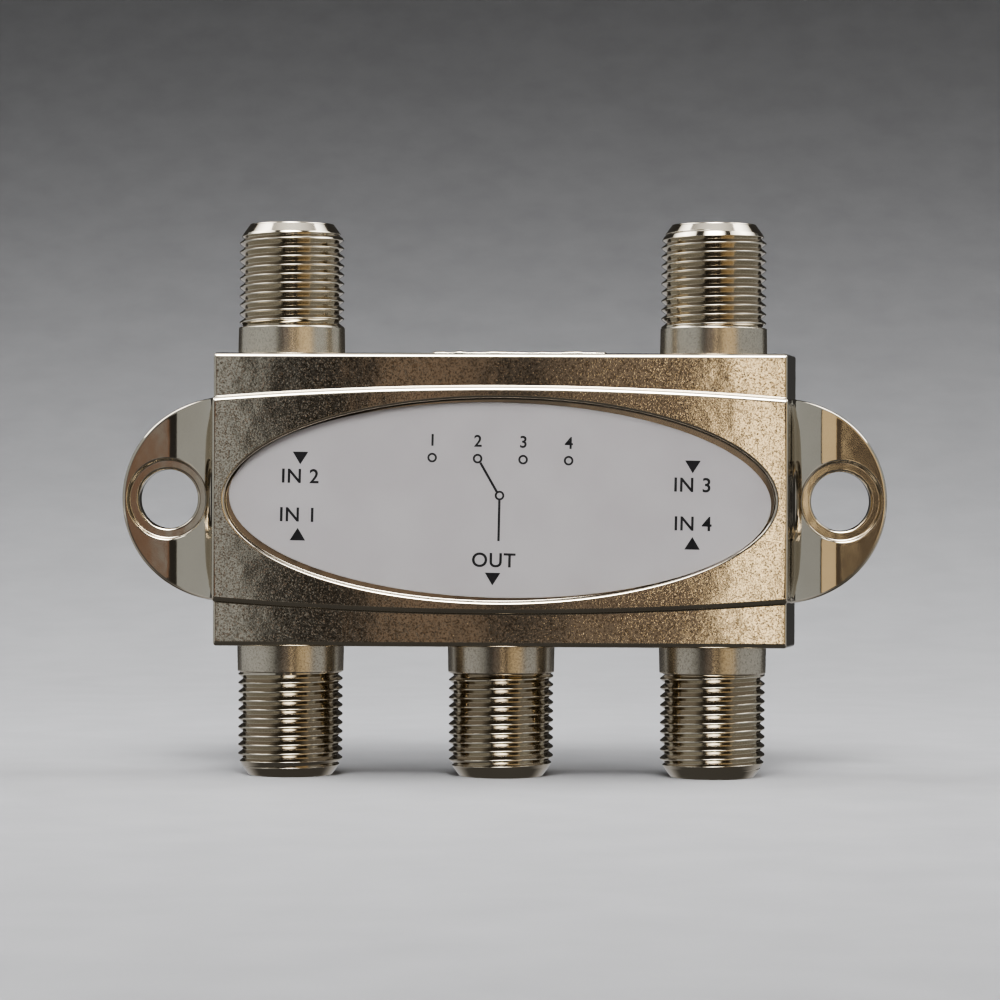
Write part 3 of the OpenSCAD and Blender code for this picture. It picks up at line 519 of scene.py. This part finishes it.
def make_socket(name):
    """A threaded barrel: a section revolved about its axis, with the thread cut in as a helix.

    At height h and angle a the thread's place in its pitch is h / pitch - a / turn. Its radius falls from
    a flat crest down a straight flank to the root, and the lead-in cone and the collar end it.
    """
    mount = MOUNTS["socket_" + name]
    axis_x = mount["pos_m"][0] / MM
    row = mount["axis"][2]
    angle = np.linspace(0, 2 * np.pi, 121)[:-1]
    collar_z = SOCKET_FOOT_Z + COLLAR_LEN
    edge = MOUTH_EDGE_R

    thread_h = np.arange(collar_z + THREAD_START, SOCKET_END_Z - edge, THREAD_PITCH / THREAD_ROWS)
    place = thread_h[:, None] / THREAD_PITCH - angle / (2 * np.pi) + THREAD_TURN[name]
    away = THREAD_PITCH * np.abs(place % 1 - 0.5)
    crest = np.clip((THREAD_CREST / 2 + THREAD_FLANK - away) / THREAD_FLANK, 0, 1)
    thread_r = SOCKET_R - THREAD_DEPTH * (1 - crest)
    begin = smooth_step(collar_z, collar_z + THREAD_RUN_IN, thread_h)[:, None]
    thread_r = COLLAR_TOP_R + (thread_r - COLLAR_TOP_R) * begin
    cone_h = SOCKET_END_Z - np.array([CONE_FOOT, CONE_BEND, 0])
    cone = np.interp(thread_h, cone_h, [SOCKET_R, CONE_BEND_R, SOCKET_MOUTH_R])
    thread_r = np.minimum(thread_r, cone[:, None])

    plain = np.ones_like(angle)
    quarter = np.linspace(0, np.pi / 2, 5)
    collar_h = np.array([
        SOCKET_FOOT_Z - FOOT_ROW, SOCKET_FOOT_Z, collar_z - 6 * HOLD, collar_z - 3 * HOLD, collar_z,
    ])
    collar_r = np.interp(collar_h, [SOCKET_FOOT_Z, collar_z], [COLLAR_R, COLLAR_TOP_R])
    before_r = np.concatenate([[AXIS_RING, COLLAR_R - END_RING, COLLAR_R], collar_r])
    before_h = np.concatenate([[ROOT_Z, ROOT_Z, ROOT_Z], collar_h])
    mouth_r = SOCKET_MOUTH_R + MOUTH_LAND
    after_r = np.concatenate([
        mouth_r - edge + edge * np.cos(quarter),
        SOCKET_BORE_R + edge * (1 - np.sin(quarter)),
        [SOCKET_BORE_R, SOCKET_BORE_R, SOCKET_BORE_R - END_RING, AXIS_RING],
    ])
    after_h = np.concatenate([
        SOCKET_END_Z - edge + edge * np.sin(quarter),
        SOCKET_END_Z - edge * (1 - np.cos(quarter)),
        [SOCKET_END_Z - BORE_ROW, WEB_Z, WEB_Z, WEB_Z],
    ])
    radius = np.concatenate([np.outer(before_r, plain), thread_r, np.outer(after_r, plain)])
    height = np.concatenate([before_h, thread_h, after_h])[:, None] * plain
    points = np.stack([
        axis_x + radius * np.cos(angle),
        row * radius * np.sin(angle),
        row * height,
    ], axis=-1)
    index = np.arange(radius.size).reshape(radius.shape)
    grain = np.zeros(radius.shape)
    grain[:len(before_r)] = GRAIN_SATIN if row > 0 else GRAIN_WALL
    faces = [quads(index, wrap_columns=True), index[:1], index[-1:]]
    return build_mesh("housing_socket_" + name, points, faces, grain)


# Gate mark and stakes

GATE_W, GATE_D, GATE_H = 16.0, 1.6, 0.4
GATE_X, GATE_Y = 1.5, 3.0
GATE_SINK = 0.3
# Height of its torn edge, as shares of GATE_H: the mean, the waves and the least
GATE_MEAN, GATE_WAVE, GATE_LEAST = 0.72, 0.07, 0.4
# Length of each end's roll-off, as a share of the gate's length
GATE_END = 0.015


def make_gate_mark():
    """The trimmed gate on top of the case: a flattened oval section along X whose height is uneven."""
    rng = np.random.default_rng(RANDOM_SEED)
    along = np.linspace(0, 1, 161)
    waves = np.arange(2, 14)
    phase = rng.uniform(0, 2 * np.pi, len(waves))
    uneven = (np.sin(2 * np.pi * along[:, None] * waves + phase) / np.sqrt(waves)).sum(axis=1)
    uneven = np.clip(GATE_MEAN + GATE_WAVE * uneven, GATE_LEAST, 1)
    ends = np.clip(np.minimum(along, 1 - along) / GATE_END, 0, 1) ** 0.5
    tall = GATE_H * uneven * (0.25 + 0.75 * ends)
    around = np.linspace(0, 2 * np.pi, 25)[:-1]
    width = (GATE_D / 2 * (0.8 + 0.2 * uneven) * (0.6 + 0.4 * ends))[:, None]
    y = GATE_Y + width * np.sign(np.cos(around)) * np.abs(np.cos(around)) ** 0.5
    lift = np.sign(np.sin(around)) * np.abs(np.sin(around)) ** 0.4
    z = top_z(GATE_Y) + np.where(lift > 0, tall[:, None] * lift, GATE_SINK * lift)
    x = GATE_X + GATE_W * (along[:, None] - 0.5) + 0 * around
    points = np.stack([x, y, z], axis=-1)
    index = np.arange(x.size).reshape(x.shape)
    faces = [quads(index, wrap_columns=True), index[:1], index[-1:]]
    return build_mesh("housing_gate_mark", points, faces, np.full(x.size, GRAIN_GATE))


STAKE_R, STAKE_T, STAKE_PITCH = 0.9, 0.25, 15.0
STAKE_UNEVEN = 0.06
COVER_T = 0.5


def make_stakes():
    """Peened stakes that hold the cover: low domes round the rebate's edge, each a revolved section."""
    cover_y = box_mm("rear_cover")[0][1] + COVER_T
    places = np.array(
        [(x, z * REBATE_H / 2) for x in (-STAKE_PITCH, 0, STAKE_PITCH) for z in (-1, 1)]
        + [(x * REBATE_W / 2, 0) for x in (-1, 1)]
    )
    section = np.array([
        (0.02, 0), (1, 0), (1, 0.45), (0.97, 0.7), (0.88, 0.9), (0.7, 1), (0.45, 0.97), (0.02, 0.9),
    ])
    angle = np.linspace(0, 2 * np.pi, 33)[:-1]
    swell = 1 - STAKE_UNEVEN * (1 + np.sin(3 * angle + places[:, :1]))
    radius = STAKE_R * section[:, 0][None, :, None] * swell[:, None, :]
    x = places[:, 0][:, None, None] + radius * np.cos(angle)
    z = places[:, 1][:, None, None] + radius * np.sin(angle)
    y = cover_y + STAKE_T * section[:, 1][None, :, None] + 0 * x
    points = np.stack([x, y, z], axis=-1)
    index = np.arange(x.size).reshape(x.shape)
    sides = np.stack([quads(stake, wrap_columns=True) for stake in index])
    faces = [sides, index[:, 0], index[:, -1]]
    return build_mesh("housing_stakes", points, faces, np.full(x.size, GRAIN_SATIN))


# Label

LABEL_W, LABEL_H, LABEL_T = 47.7, 17.2, 0.2
LABEL_EDGE_R = 0.06
LABEL_TILT = 1.1
PRINT_LIFT = 0.012
LETTER_SWELL, LETTER_GAP = 0.022, 1.08
WORD_SIZE, NUMBER_SIZE = 1.75, 1.45
ARROW_HALF_W, ARROW_HALF_H = 0.68, 0.55
MARK_R, MARK_STROKE, BAR_STROKE = 0.42, 0.17, 0.2
# Words beside the inputs: text, x, and z of the arrowhead and of the word
INPUT_MARKS = [
    ("IN 2", -17.6, 3.3, 1.65), ("IN 1", -17.7, -3.4, -1.75),
    ("IN 3", 16.9, 3.3, 1.65), ("IN 4", 17.0, -3.4, -1.75),
]
label_low, label_high = box_mm("label")
LABEL_A, LABEL_B = LABEL_W / 2, LABEL_H / 2
LABEL_Y = label_low[1]


def label_turn():
    """The label's tilt about Y, clockwise as seen from the front."""
    return Matrix.Rotation(np.radians(LABEL_TILT), 3, "Y")


def make_label():
    """The oval label: rings from its back, round the edge and over its face to the middle."""
    turn = np.linspace(0, 2 * np.pi, 193)[:-1]
    quarter = np.linspace(0, np.pi / 2, 5)
    inset = np.concatenate([[0.2, 0], LABEL_EDGE_R * (1 - np.cos(quarter)), [0.1, 0.4, 2, 5]])
    depth = np.concatenate([
        [0, 0], LABEL_T - LABEL_EDGE_R + LABEL_EDGE_R * np.sin(quarter), np.full(4, LABEL_T),
    ])
    x = (LABEL_A - inset)[:, None] * np.cos(turn)
    z = (LABEL_B - inset)[:, None] * np.sin(turn)
    y = label_high[1] - depth[:, None] + 0 * x
    points = np.stack([x, y, z], axis=-1).reshape(-1, 3) @ np.array(label_turn()).T
    index = np.arange(x.size).reshape(x.shape)
    faces = [quads(index, wrap_columns=True), index[:1], index[-1:]]
    return build_mesh("label_sheet", points, faces)


def print_points(flat):
    """Flat drawing points (x, z) in millimetres on the label, as row-frame points just above its face."""
    points = np.stack([flat[:, 0], np.full(len(flat), LABEL_Y - PRINT_LIFT), flat[:, 1]], axis=1)
    return row_frame(points @ np.array(label_turn()).T)


def text_outline(words, size, x, z):
    """A word as a flat mesh, centred at (x, z) on the label: vertices (x, z) and faces."""
    curve = bpy.data.curves.new("word", "FONT")
    curve.body = words
    curve.size = size
    curve.align_x = "CENTER"
    curve.align_y = "CENTER"
    curve.space_character = LETTER_GAP
    curve.offset = LETTER_SWELL
    holder = bpy.data.objects.new("word", curve)
    bpy.context.scene.collection.objects.link(holder)
    bpy.context.view_layer.update()
    flat = bpy.data.meshes.new_from_object(holder.evaluated_get(bpy.context.evaluated_depsgraph_get()))
    co = np.zeros(len(flat.vertices) * 3)
    flat.vertices.foreach_get("co", co)
    outline = co.reshape(-1, 3)[:, :2] + [x, z]
    faces = [list(p.vertices) for p in flat.polygons]
    bpy.data.objects.remove(holder)
    bpy.data.curves.remove(curve)
    bpy.data.meshes.remove(flat)
    return outline, faces


def triangle(x, z, up):
    """A small arrowhead on the label that points up or down."""
    half, tall = ARROW_HALF_W, ARROW_HALF_H * (1 if up else -1)
    return np.array([(x - half, z - tall), (x + half, z - tall), (x, z + tall)]), [[0, 1, 2]]


def ring_mark(x, z, radius, stroke):
    """A thin ring on the label, drawn as two circles joined by quads."""
    angle = np.linspace(0, 2 * np.pi, 33)[:-1]
    circle = np.stack([np.cos(angle), np.sin(angle)], axis=1)
    outline = np.concatenate([circle * radius, circle * (radius - stroke)]) + [x, z]
    index = np.arange(len(outline)).reshape(2, -1)
    return outline, quads(index, wrap_columns=True).reshape(-1, 4).tolist()


def bar(x0, z0, x1, z1, stroke):
    """A straight stroke on the label between two points."""
    along = np.array([x1 - x0, z1 - z0])
    across = np.array([-along[1], along[0]]) / np.linalg.norm(along) * stroke / 2
    ends = np.array([[x0, z0], [x1, z1]])
    return np.concatenate([ends - across, (ends + across)[::-1]]), [[0, 1, 2, 3]]


def make_print():
    """The label's generic print: arrowheads and words beside the sockets and a selector sign between."""
    parts = []
    for words, x, arrow_z, word_z in INPUT_MARKS:
        parts.append(triangle(x, arrow_z, up=arrow_z < 0))
        parts.append(text_outline(words, WORD_SIZE, x, word_z))
    parts.append(text_outline("OUT", WORD_SIZE, -0.4, -5.35))
    parts.append(triangle(-0.45, -6.95, up=False))
    pole_x, pole_z = 0.0, 0.4
    for i, x in enumerate((-6.0, -2.0, 2.0, 6.0)):
        parts.append(ring_mark(x, 3.6, MARK_R, MARK_STROKE))
        parts.append(text_outline(str(i + 1), NUMBER_SIZE, x, 5.1))
    parts.append(ring_mark(pole_x, pole_z, MARK_R, MARK_STROKE))
    parts.append(bar(pole_x - 0.25, pole_z + 0.33, -1.75, 3.25, BAR_STROKE))
    parts.append(bar(pole_x, pole_z - MARK_R, pole_x, -3.6, BAR_STROKE))
    counts = np.cumsum([0] + [len(p[0]) for p in parts])
    points = print_points(np.concatenate([p[0] for p in parts]))
    faces = [
        [v + start for v in face]
        for (_, part_faces), start in zip(parts, counts) for face in part_faces
    ]
    mesh = bpy.data.meshes.new("label_print")
    mesh.from_pydata(points.tolist(), [], faces)
    mesh.update()
    turned = bmesh.new()
    turned.from_mesh(mesh)
    bmesh.ops.remove_doubles(turned, verts=turned.verts, dist=1e-7)
    flipped = [f for f in turned.faces if f.normal.y > 0]
    bmesh.ops.reverse_faces(turned, faces=flipped)
    turned.to_mesh(mesh)
    turned.free()
    return mesh


# Materials

# Numbers of node outputs: an attribute's value, object coordinates and a colour mix
VALUE_OUT, OBJECT_OUT, MIX_OUT = 2, 3, 2
# Rolling lines of the tinplate: the scale of their noise along X and across it
ROLLING_SCALE = (60, 4000, 4000)
# How far the gloss of a plain finish goes either way
GLOSS_SWING = 0.06


class Nodes:
    """A short way to build a node material: add(), link() and the shader's sockets."""

    def __init__(self, name):
        self.material = bpy.data.materials.new(name)
        self.material.use_nodes = True
        self.tree = self.material.node_tree
        self.shader = self.tree.nodes["Principled BSDF"]

    def add(self, kind, **settings):
        """A node with its settings; a setting that names an input sets that input's value."""
        node = self.tree.nodes.new("ShaderNode" + kind)
        for key, value in settings.items():
            if hasattr(node, key):
                setattr(node, key, value)
            else:
                node.inputs[key.replace("_", " ")].default_value = value
        return node

    def link(self, source, target, socket, output=0):
        """Joins a node's output to another node's input."""
        self.tree.links.new(source.outputs[output], target.inputs[socket])

    def coordinates(self):
        """Texture coordinates, whose output OBJECT_OUT is the piece's own place in metres."""
        return self.add("TexCoord")

    def noise(self, size_mm, detail=2.0):
        """Soft noise with features of about this size, on the piece's own place."""
        noise = self.add("TexNoise", Scale=0.5 / (size_mm * MM), Detail=detail, Roughness=0.5)
        self.link(self.coordinates(), noise, "Vector", output=OBJECT_OUT)
        return noise

    def ramp(self, source, stops, output=0):
        """Colours along a source value, given as (place, colour)."""
        ramp = self.add("ValToRGB")
        while len(ramp.color_ramp.elements) < len(stops):
            ramp.color_ramp.elements.new(0.5)
        for element, (place, colour) in zip(ramp.color_ramp.elements, stops):
            element.position = place
            element.color = (*colour, 1)
        self.link(source, ramp, "Fac", output=output)
        return ramp

    def span(self, source, low, high, output=0, source_low=0.0, source_high=1.0):
        """A value from source_low to source_high, carried to the span from low to high and held inside it."""
        span = self.add("MapRange")
        span.inputs["From Min"].default_value = source_low
        span.inputs["From Max"].default_value = source_high
        span.inputs["To Min"].default_value = low
        span.inputs["To Max"].default_value = high
        self.link(source, span, "Value", output=output)
        return span

    def bump(self, source, height_mm, before=None):
        """A bump of this height from a source value, on top of an earlier bump."""
        bump = self.add("Bump", Strength=1.0, Distance=height_mm * MM)
        self.link(source, bump, "Height")
        if before:
            self.link(before, bump, "Normal")
        return bump

    def mix(self, share, first, second, blend="MIX", output=0):
        """Two colours mixed by a share, which is taken from this output of its node."""
        mix = self.add("Mix", data_type="RGBA", blend_type=blend)
        self.link(share, mix, 0, output=output)
        self.link(first, mix, 6)
        self.link(second, mix, 7)
        return mix

    def times(self, first, second, output=0):
        """The product of two values, the second taken from this output of its node."""
        product = self.add("Math", operation="MULTIPLY")
        self.link(first, product, 0)
        self.link(second, product, 1, output=output)
        return product

    def set(self, **values):
        """Sets the shader's own sockets."""
        for key, value in values.items():
            self.shader.inputs[key.replace("_", " ")].default_value = value


class RoomNodes(Nodes):
    """The same short way for the room's world, whose shader is its background."""

    def __init__(self, name):
        self.world = bpy.data.worlds.new(name)
        self.world.use_nodes = True
        self.tree = self.world.node_tree
        self.shader = self.tree.nodes["Background"]


def nickel_casting():
    """Nickel plate on a zinc casting, by the grain attribute.

    It is polished at 0 and satin about a half. At 1 it is a cast face with dark specks and sparkling peaks.
    """
    n = Nodes("nickel_casting")
    n.set(Metallic=1.0)
    grain = n.add("Attribute", attribute_name="grain")
    tone = n.noise(6.0, detail=3.0)
    speck = n.noise(0.08)
    warm = n.ramp(tone, [(0.3, (0.53, 0.48, 0.40)), (0.7, (0.61, 0.56, 0.47))])
    dark = n.ramp(speck, [(0.32, (0.62, 0.59, 0.55)), (0.53, (1, 1, 1))])
    colour = n.mix(grain, warm, dark, blend="MULTIPLY", output=VALUE_OUT)
    n.link(colour, n.shader, "Base Color", output=MIX_OUT)
    polish, satin, face = (0.097,) * 3, (0.26,) * 3, (0.07,) * 3
    gloss = [(0, polish), (0.15, polish), (0.4, satin), (0.6, satin), (1, face)]
    n.link(n.ramp(grain, gloss, output=VALUE_OUT), n.shader, "Roughness")
    waves = n.times(speck, grain, output=VALUE_OUT)
    peak = n.span(n.noise(0.075, detail=1.0), 0, 1, source_low=0.56, source_high=0.82)
    peaks = n.times(peak, grain, output=VALUE_OUT)
    fine = n.bump(peaks, 0.0024, before=n.bump(waves, 0.0012))
    n.link(n.bump(n.noise(1.5), 0.015, before=fine), n.shader, "Normal")
    return n.material


def label_film():
    """Pale lilac-grey film with a faint mottle and a satin sheen."""
    n = Nodes("label_film")
    n.set(Roughness=0.42, Specular_IOR_Level=0.4)
    colour = n.ramp(n.noise(3.0), [(0.35, (0.325, 0.313, 0.318)), (0.65, (0.345, 0.333, 0.338))])
    n.link(colour, n.shader, "Base Color")
    n.link(n.bump(n.noise(0.35), 0.004), n.shader, "Normal")
    return n.material


def label_ink():
    """Dense black print with a slight sheen."""
    n = Nodes("label_ink")
    n.set(Specular_IOR_Level=0.3)
    colour = n.ramp(n.noise(0.4), [(0.3, (0.012, 0.012, 0.014)), (0.7, (0.022, 0.021, 0.023))])
    n.link(colour, n.shader, "Base Color")
    n.link(n.span(n.noise(0.6), 0.4, 0.55), n.shader, "Roughness")
    return n.material


def tinplate():
    """Bright tinplate with rolling lines along X and faint stains."""
    n = Nodes("tinplate")
    n.set(Metallic=1.0)
    lines = n.add("TexNoise", Scale=1.0, Detail=3.0)
    stretch = n.add("Mapping")
    stretch.inputs["Scale"].default_value = ROLLING_SCALE
    n.link(n.coordinates(), stretch, "Vector", output=OBJECT_OUT)
    n.link(stretch, lines, "Vector")
    colour = n.ramp(n.noise(7.0), [(0.3, (0.60, 0.60, 0.59)), (0.7, (0.68, 0.68, 0.67))])
    n.link(colour, n.shader, "Base Color")
    n.link(n.span(lines, 0.22, 0.42), n.shader, "Roughness")
    n.link(n.bump(lines, 0.006), n.shader, "Normal")
    return n.material


def plain_finish(name, low, high, roughness, size_mm=0.8, metallic=0.0, bump_mm=0.005):
    """A moulded, ceramic or metal finish: two close tones, uneven gloss and a fine surface."""
    n = Nodes(name)
    n.set(Metallic=metallic)
    mottle = n.noise(size_mm, detail=3.0)
    n.link(n.ramp(mottle, [(0.3, low), (0.7, high)]), n.shader, "Base Color")
    n.link(n.span(mottle, roughness - GLOSS_SWING, roughness + GLOSS_SWING), n.shader, "Roughness")
    n.link(n.bump(n.noise(size_mm / 3), bump_mm), n.shader, "Normal")
    return n.material


nickel = nickel_casting()
NODE_FINISHES = {
    "tinplate": tinplate(),
    "bush_plastic": plain_finish("bush_plastic", (0.78, 0.78, 0.74), (0.84, 0.84, 0.80), 0.42),
    "contact_tin": plain_finish("contact_tin", (0.58, 0.56, 0.50), (0.66, 0.64, 0.58), 0.28, metallic=1.0),
    "board_laminate": plain_finish("board_laminate", (0.02, 0.11, 0.05), (0.03, 0.14, 0.06), 0.38),
    "solder": plain_finish("solder", (0.52, 0.53, 0.54), (0.6, 0.61, 0.62), 0.3, metallic=1.0),
    "chip_black": plain_finish("chip_black", (0.012, 0.012, 0.013), (0.02, 0.02, 0.021), 0.5, size_mm=0.3),
    "ferrite": plain_finish("ferrite", (0.03, 0.03, 0.034), (0.05, 0.05, 0.055), 0.55, size_mm=0.3),
    "capacitor_ceramic": plain_finish("capacitor_ceramic", (0.38, 0.25, 0.12), (0.46, 0.31, 0.16), 0.4),
    "tantalum_resin": plain_finish("tantalum_resin", (0.6, 0.38, 0.05), (0.68, 0.44, 0.07), 0.4),
}

# Pieces

for mesh in [make_case(), make_ear(-1), make_ear(1), make_gate_mark(), make_stakes()]:
    add_piece(mesh, nickel, "housing")
for socket in SOCKETS:
    add_piece(make_socket(socket), nickel, "housing")
add_piece(make_label(), label_film(), "label")
add_piece(make_print(), label_ink())
for subpart in frame["record"]["subparts"]:
    finish = NODE_FINISHES.get(subpart["material_slot"])
    if finish:
        node = frame["nodes"][subpart["node"]]
        node.data.materials.clear()
        node.data.materials.append(finish)

# Studio

FLOOR_HALF = 1.6
FRONT_Y, FRONT_R = -1.2, 0.03
SWEEP_Y, SWEEP_R = 0.12, 0.5
WALL_TOP = 1.2
MIDDLE = (0, 0, MIDDLE_Z * MM)
WHITE, COOL = (1, 1, 1), (0.9, 0.96, 1)
CARD_Y, CARD_Z, CARD_H = -0.6, 0.06, 0.3
# Cards in front of the part, which its faces mirror as stripes: name, x, width, power and colour
CARDS = [
    ("card_front_left", -0.094, 0.022, 0.009, COOL),
    ("card_brown_left", -0.1235, 0.027, 0.006, (1, 0.57, 0.37)),
    ("card_brown_edge", -0.1095, 0.0014, 0.00023, (1, 0.57, 0.37)),
    ("card_brown_fade", -0.1082, 0.0012, 0.00013, (1, 0.57, 0.37)),
    ("card_brown_shade", -0.107, 0.0012, 0.00008, (1, 0.6, 0.42)),
    ("card_streak_left", -0.036, 0.028, 0.0066, (1, 0.75, 0.58)),
    ("card_dark", -0.0125, 0.019, 0.0006, (1, 0.92, 0.87)),
    ("card_streak_right", 0.0135, 0.033, 0.0063, (1, 0.78, 0.62)),
    ("card_brown_middle", 0.0365, 0.013, 0.0015, (1, 0.8, 0.7)),
    ("card_front_right", 0.0525, 0.017, 0.04, (1, 0.82, 0.56)),
    ("card_brown_right", 0.121, 0.098, 0.007, (1, 0.68, 0.42)),
]


def make_floor():
    """A pale floor: a profile that rolls off in front, runs level, sweeps up and ends as a wall, along X.

    It is kept out of mirrors, so that the metal shows the graded room instead.
    """
    angle = np.linspace(0, np.pi / 2, 48)
    fall, wall_y = angle[::-1], SWEEP_Y + SWEEP_R
    y = np.concatenate([FRONT_Y - FRONT_R * np.sin(fall), SWEEP_Y + SWEEP_R * np.sin(angle), [wall_y]])
    z = np.concatenate([FRONT_R * (np.cos(fall) - 1), SWEEP_R * (1 - np.cos(angle)), [WALL_TOP]])
    x = np.linspace(-FLOOR_HALF, FLOOR_HALF, 3)[:, None] + 0 * y
    points = np.stack(np.broadcast_arrays(x, y, z), axis=-1).reshape(-1, 3)
    index = np.arange(x.size).reshape(x.shape)
    mesh = bpy.data.meshes.new("floor")
    mesh.from_pydata(points.tolist(), [], quads(index).reshape(-1, 4).tolist())
    mesh.polygons.foreach_set("use_smooth", np.ones(len(mesh.polygons), bool))
    paper = plain_finish("floor_paper", (0.34, 0.34, 0.35), (0.37, 0.37, 0.38), 0.7, size_mm=4.0)
    mesh.materials.append(paper)
    floor = bpy.data.objects.new("floor", mesh)
    bpy.context.scene.collection.objects.link(floor)
    floor.visible_glossy = False


def add_light(name, place, aim, size, power, colour, spread=180):
    """A soft rectangular light at a place, aimed at a point, in metres, watts and degrees of spread."""
    light = bpy.data.lights.new(name, "AREA")
    light.shape = "RECTANGLE"
    light.size, light.size_y = size
    light.energy = power
    light.spread = np.radians(spread)
    light.color = colour
    holder = bpy.data.objects.new(name, light)
    bpy.context.scene.collection.objects.link(holder)
    holder.location = place
    holder.rotation_euler = (Vector(aim) - Vector(place)).to_track_quat("-Z", "Y").to_euler()


ROOM_DIM = (0.07, 0.068, 0.066)
ROOM_LOW = (0.115, 0.113, 0.11)
ROOM_PALE = (0.42, 0.42, 0.43)


def add_room():
    """The room that the metal mirrors: dim at eye level and above, and pale low down behind and beside it.

    The colour follows the height of the direction. Its depth chooses between a scale for the front, which
    stays dim low down as in the photograph, and one for the back and sides.
    """
    n = RoomNodes("room")
    way = n.add("SeparateXYZ")
    n.link(n.coordinates(), way, "Vector")
    rise = n.span(way, 0, 1, output=2, source_low=-1, source_high=1)
    front = n.ramp(rise, [(0.0, ROOM_LOW), (0.45, ROOM_LOW), (0.485, ROOM_DIM)])
    back = n.ramp(rise, [
        (0.0, ROOM_LOW), (0.15, ROOM_LOW), (0.27, ROOM_PALE), (0.43, ROOM_PALE), (0.475, ROOM_DIM),
    ])
    depth = n.span(way, 0, 1, output=1, source_low=-0.8, source_high=-0.62)
    n.link(n.mix(depth, front, back), n.shader, "Color", output=MIX_OUT)
    bpy.context.scene.world = n.world


CAMERA_DISTANCE = 0.3
CAMERA_YAW = 1.65
CAMERA_SIDE, CAMERA_RAISE = -0.00016, 0.00001
CAMERA_ROLL = 0.22
CAMERA_LENS = 119.9
CAMERA_NEAR = 0.01
SENSOR = 36.0


def add_camera():
    """A camera level with the middle of the case, a little to its right, as in the photograph."""
    camera = bpy.data.cameras.new("camera")
    camera.sensor_width = SENSOR
    camera.lens = CAMERA_LENS
    camera.clip_start = CAMERA_NEAR
    holder = bpy.data.objects.new("camera", camera)
    bpy.context.scene.collection.objects.link(holder)
    yaw = np.radians(CAMERA_YAW)
    middle = Vector((CAMERA_SIDE, 0, MIDDLE_Z * MM + CAMERA_RAISE))
    place = middle + CAMERA_DISTANCE * Vector((np.sin(yaw), -np.cos(yaw), 0))
    look = (middle - place).to_track_quat("-Z", "Y").to_matrix()
    roll = Matrix.Rotation(np.radians(CAMERA_ROLL), 3, "Z")
    holder.matrix_world = Matrix.Translation(place) @ (look @ roll).to_4x4()
    bpy.context.scene.camera = holder


make_floor()
add_light("softbox_key", (0, -0.315, 0.414), MIDDLE, (0.45, 0.38), 0.6, WHITE, spread=44)
add_light("softbox_overhead", (0, 0.03, 0.5), (0, 0.03, 0), (1.2, 0.36), 0.38, WHITE, spread=80)
for name, x, width, power, colour in CARDS:
    add_light(name, (x, CARD_Y, CARD_Z), MIDDLE, (width, CARD_H), power, colour)
add_light("card_right", (0.3226, -0.506, 0.12), MIDDLE, (0.353, 0.4), 0.31, (1, 0.8, 0.52))
add_light("side_left", (-0.4, -0.054, 0.15), (-0.011, 0.039, 0.039), (1.036, 0.4), 0.53, COOL)
add_light("side_right", (0.46, 0.0485, 0.15), (0.063, 0.098, 0.039), (0.809, 0.4), 0.39, COOL)
for name, side in (("edge_left", -1), ("edge_right", 1)):
    add_light(name, (side * 0.42, 0.05, 0.47), (0, 0.05, 0.03), (0.6, 0.3), 0.34, WHITE, spread=66)
add_room()
add_camera()
bpy.context.scene.view_settings.look = "AgX - High Contrast"
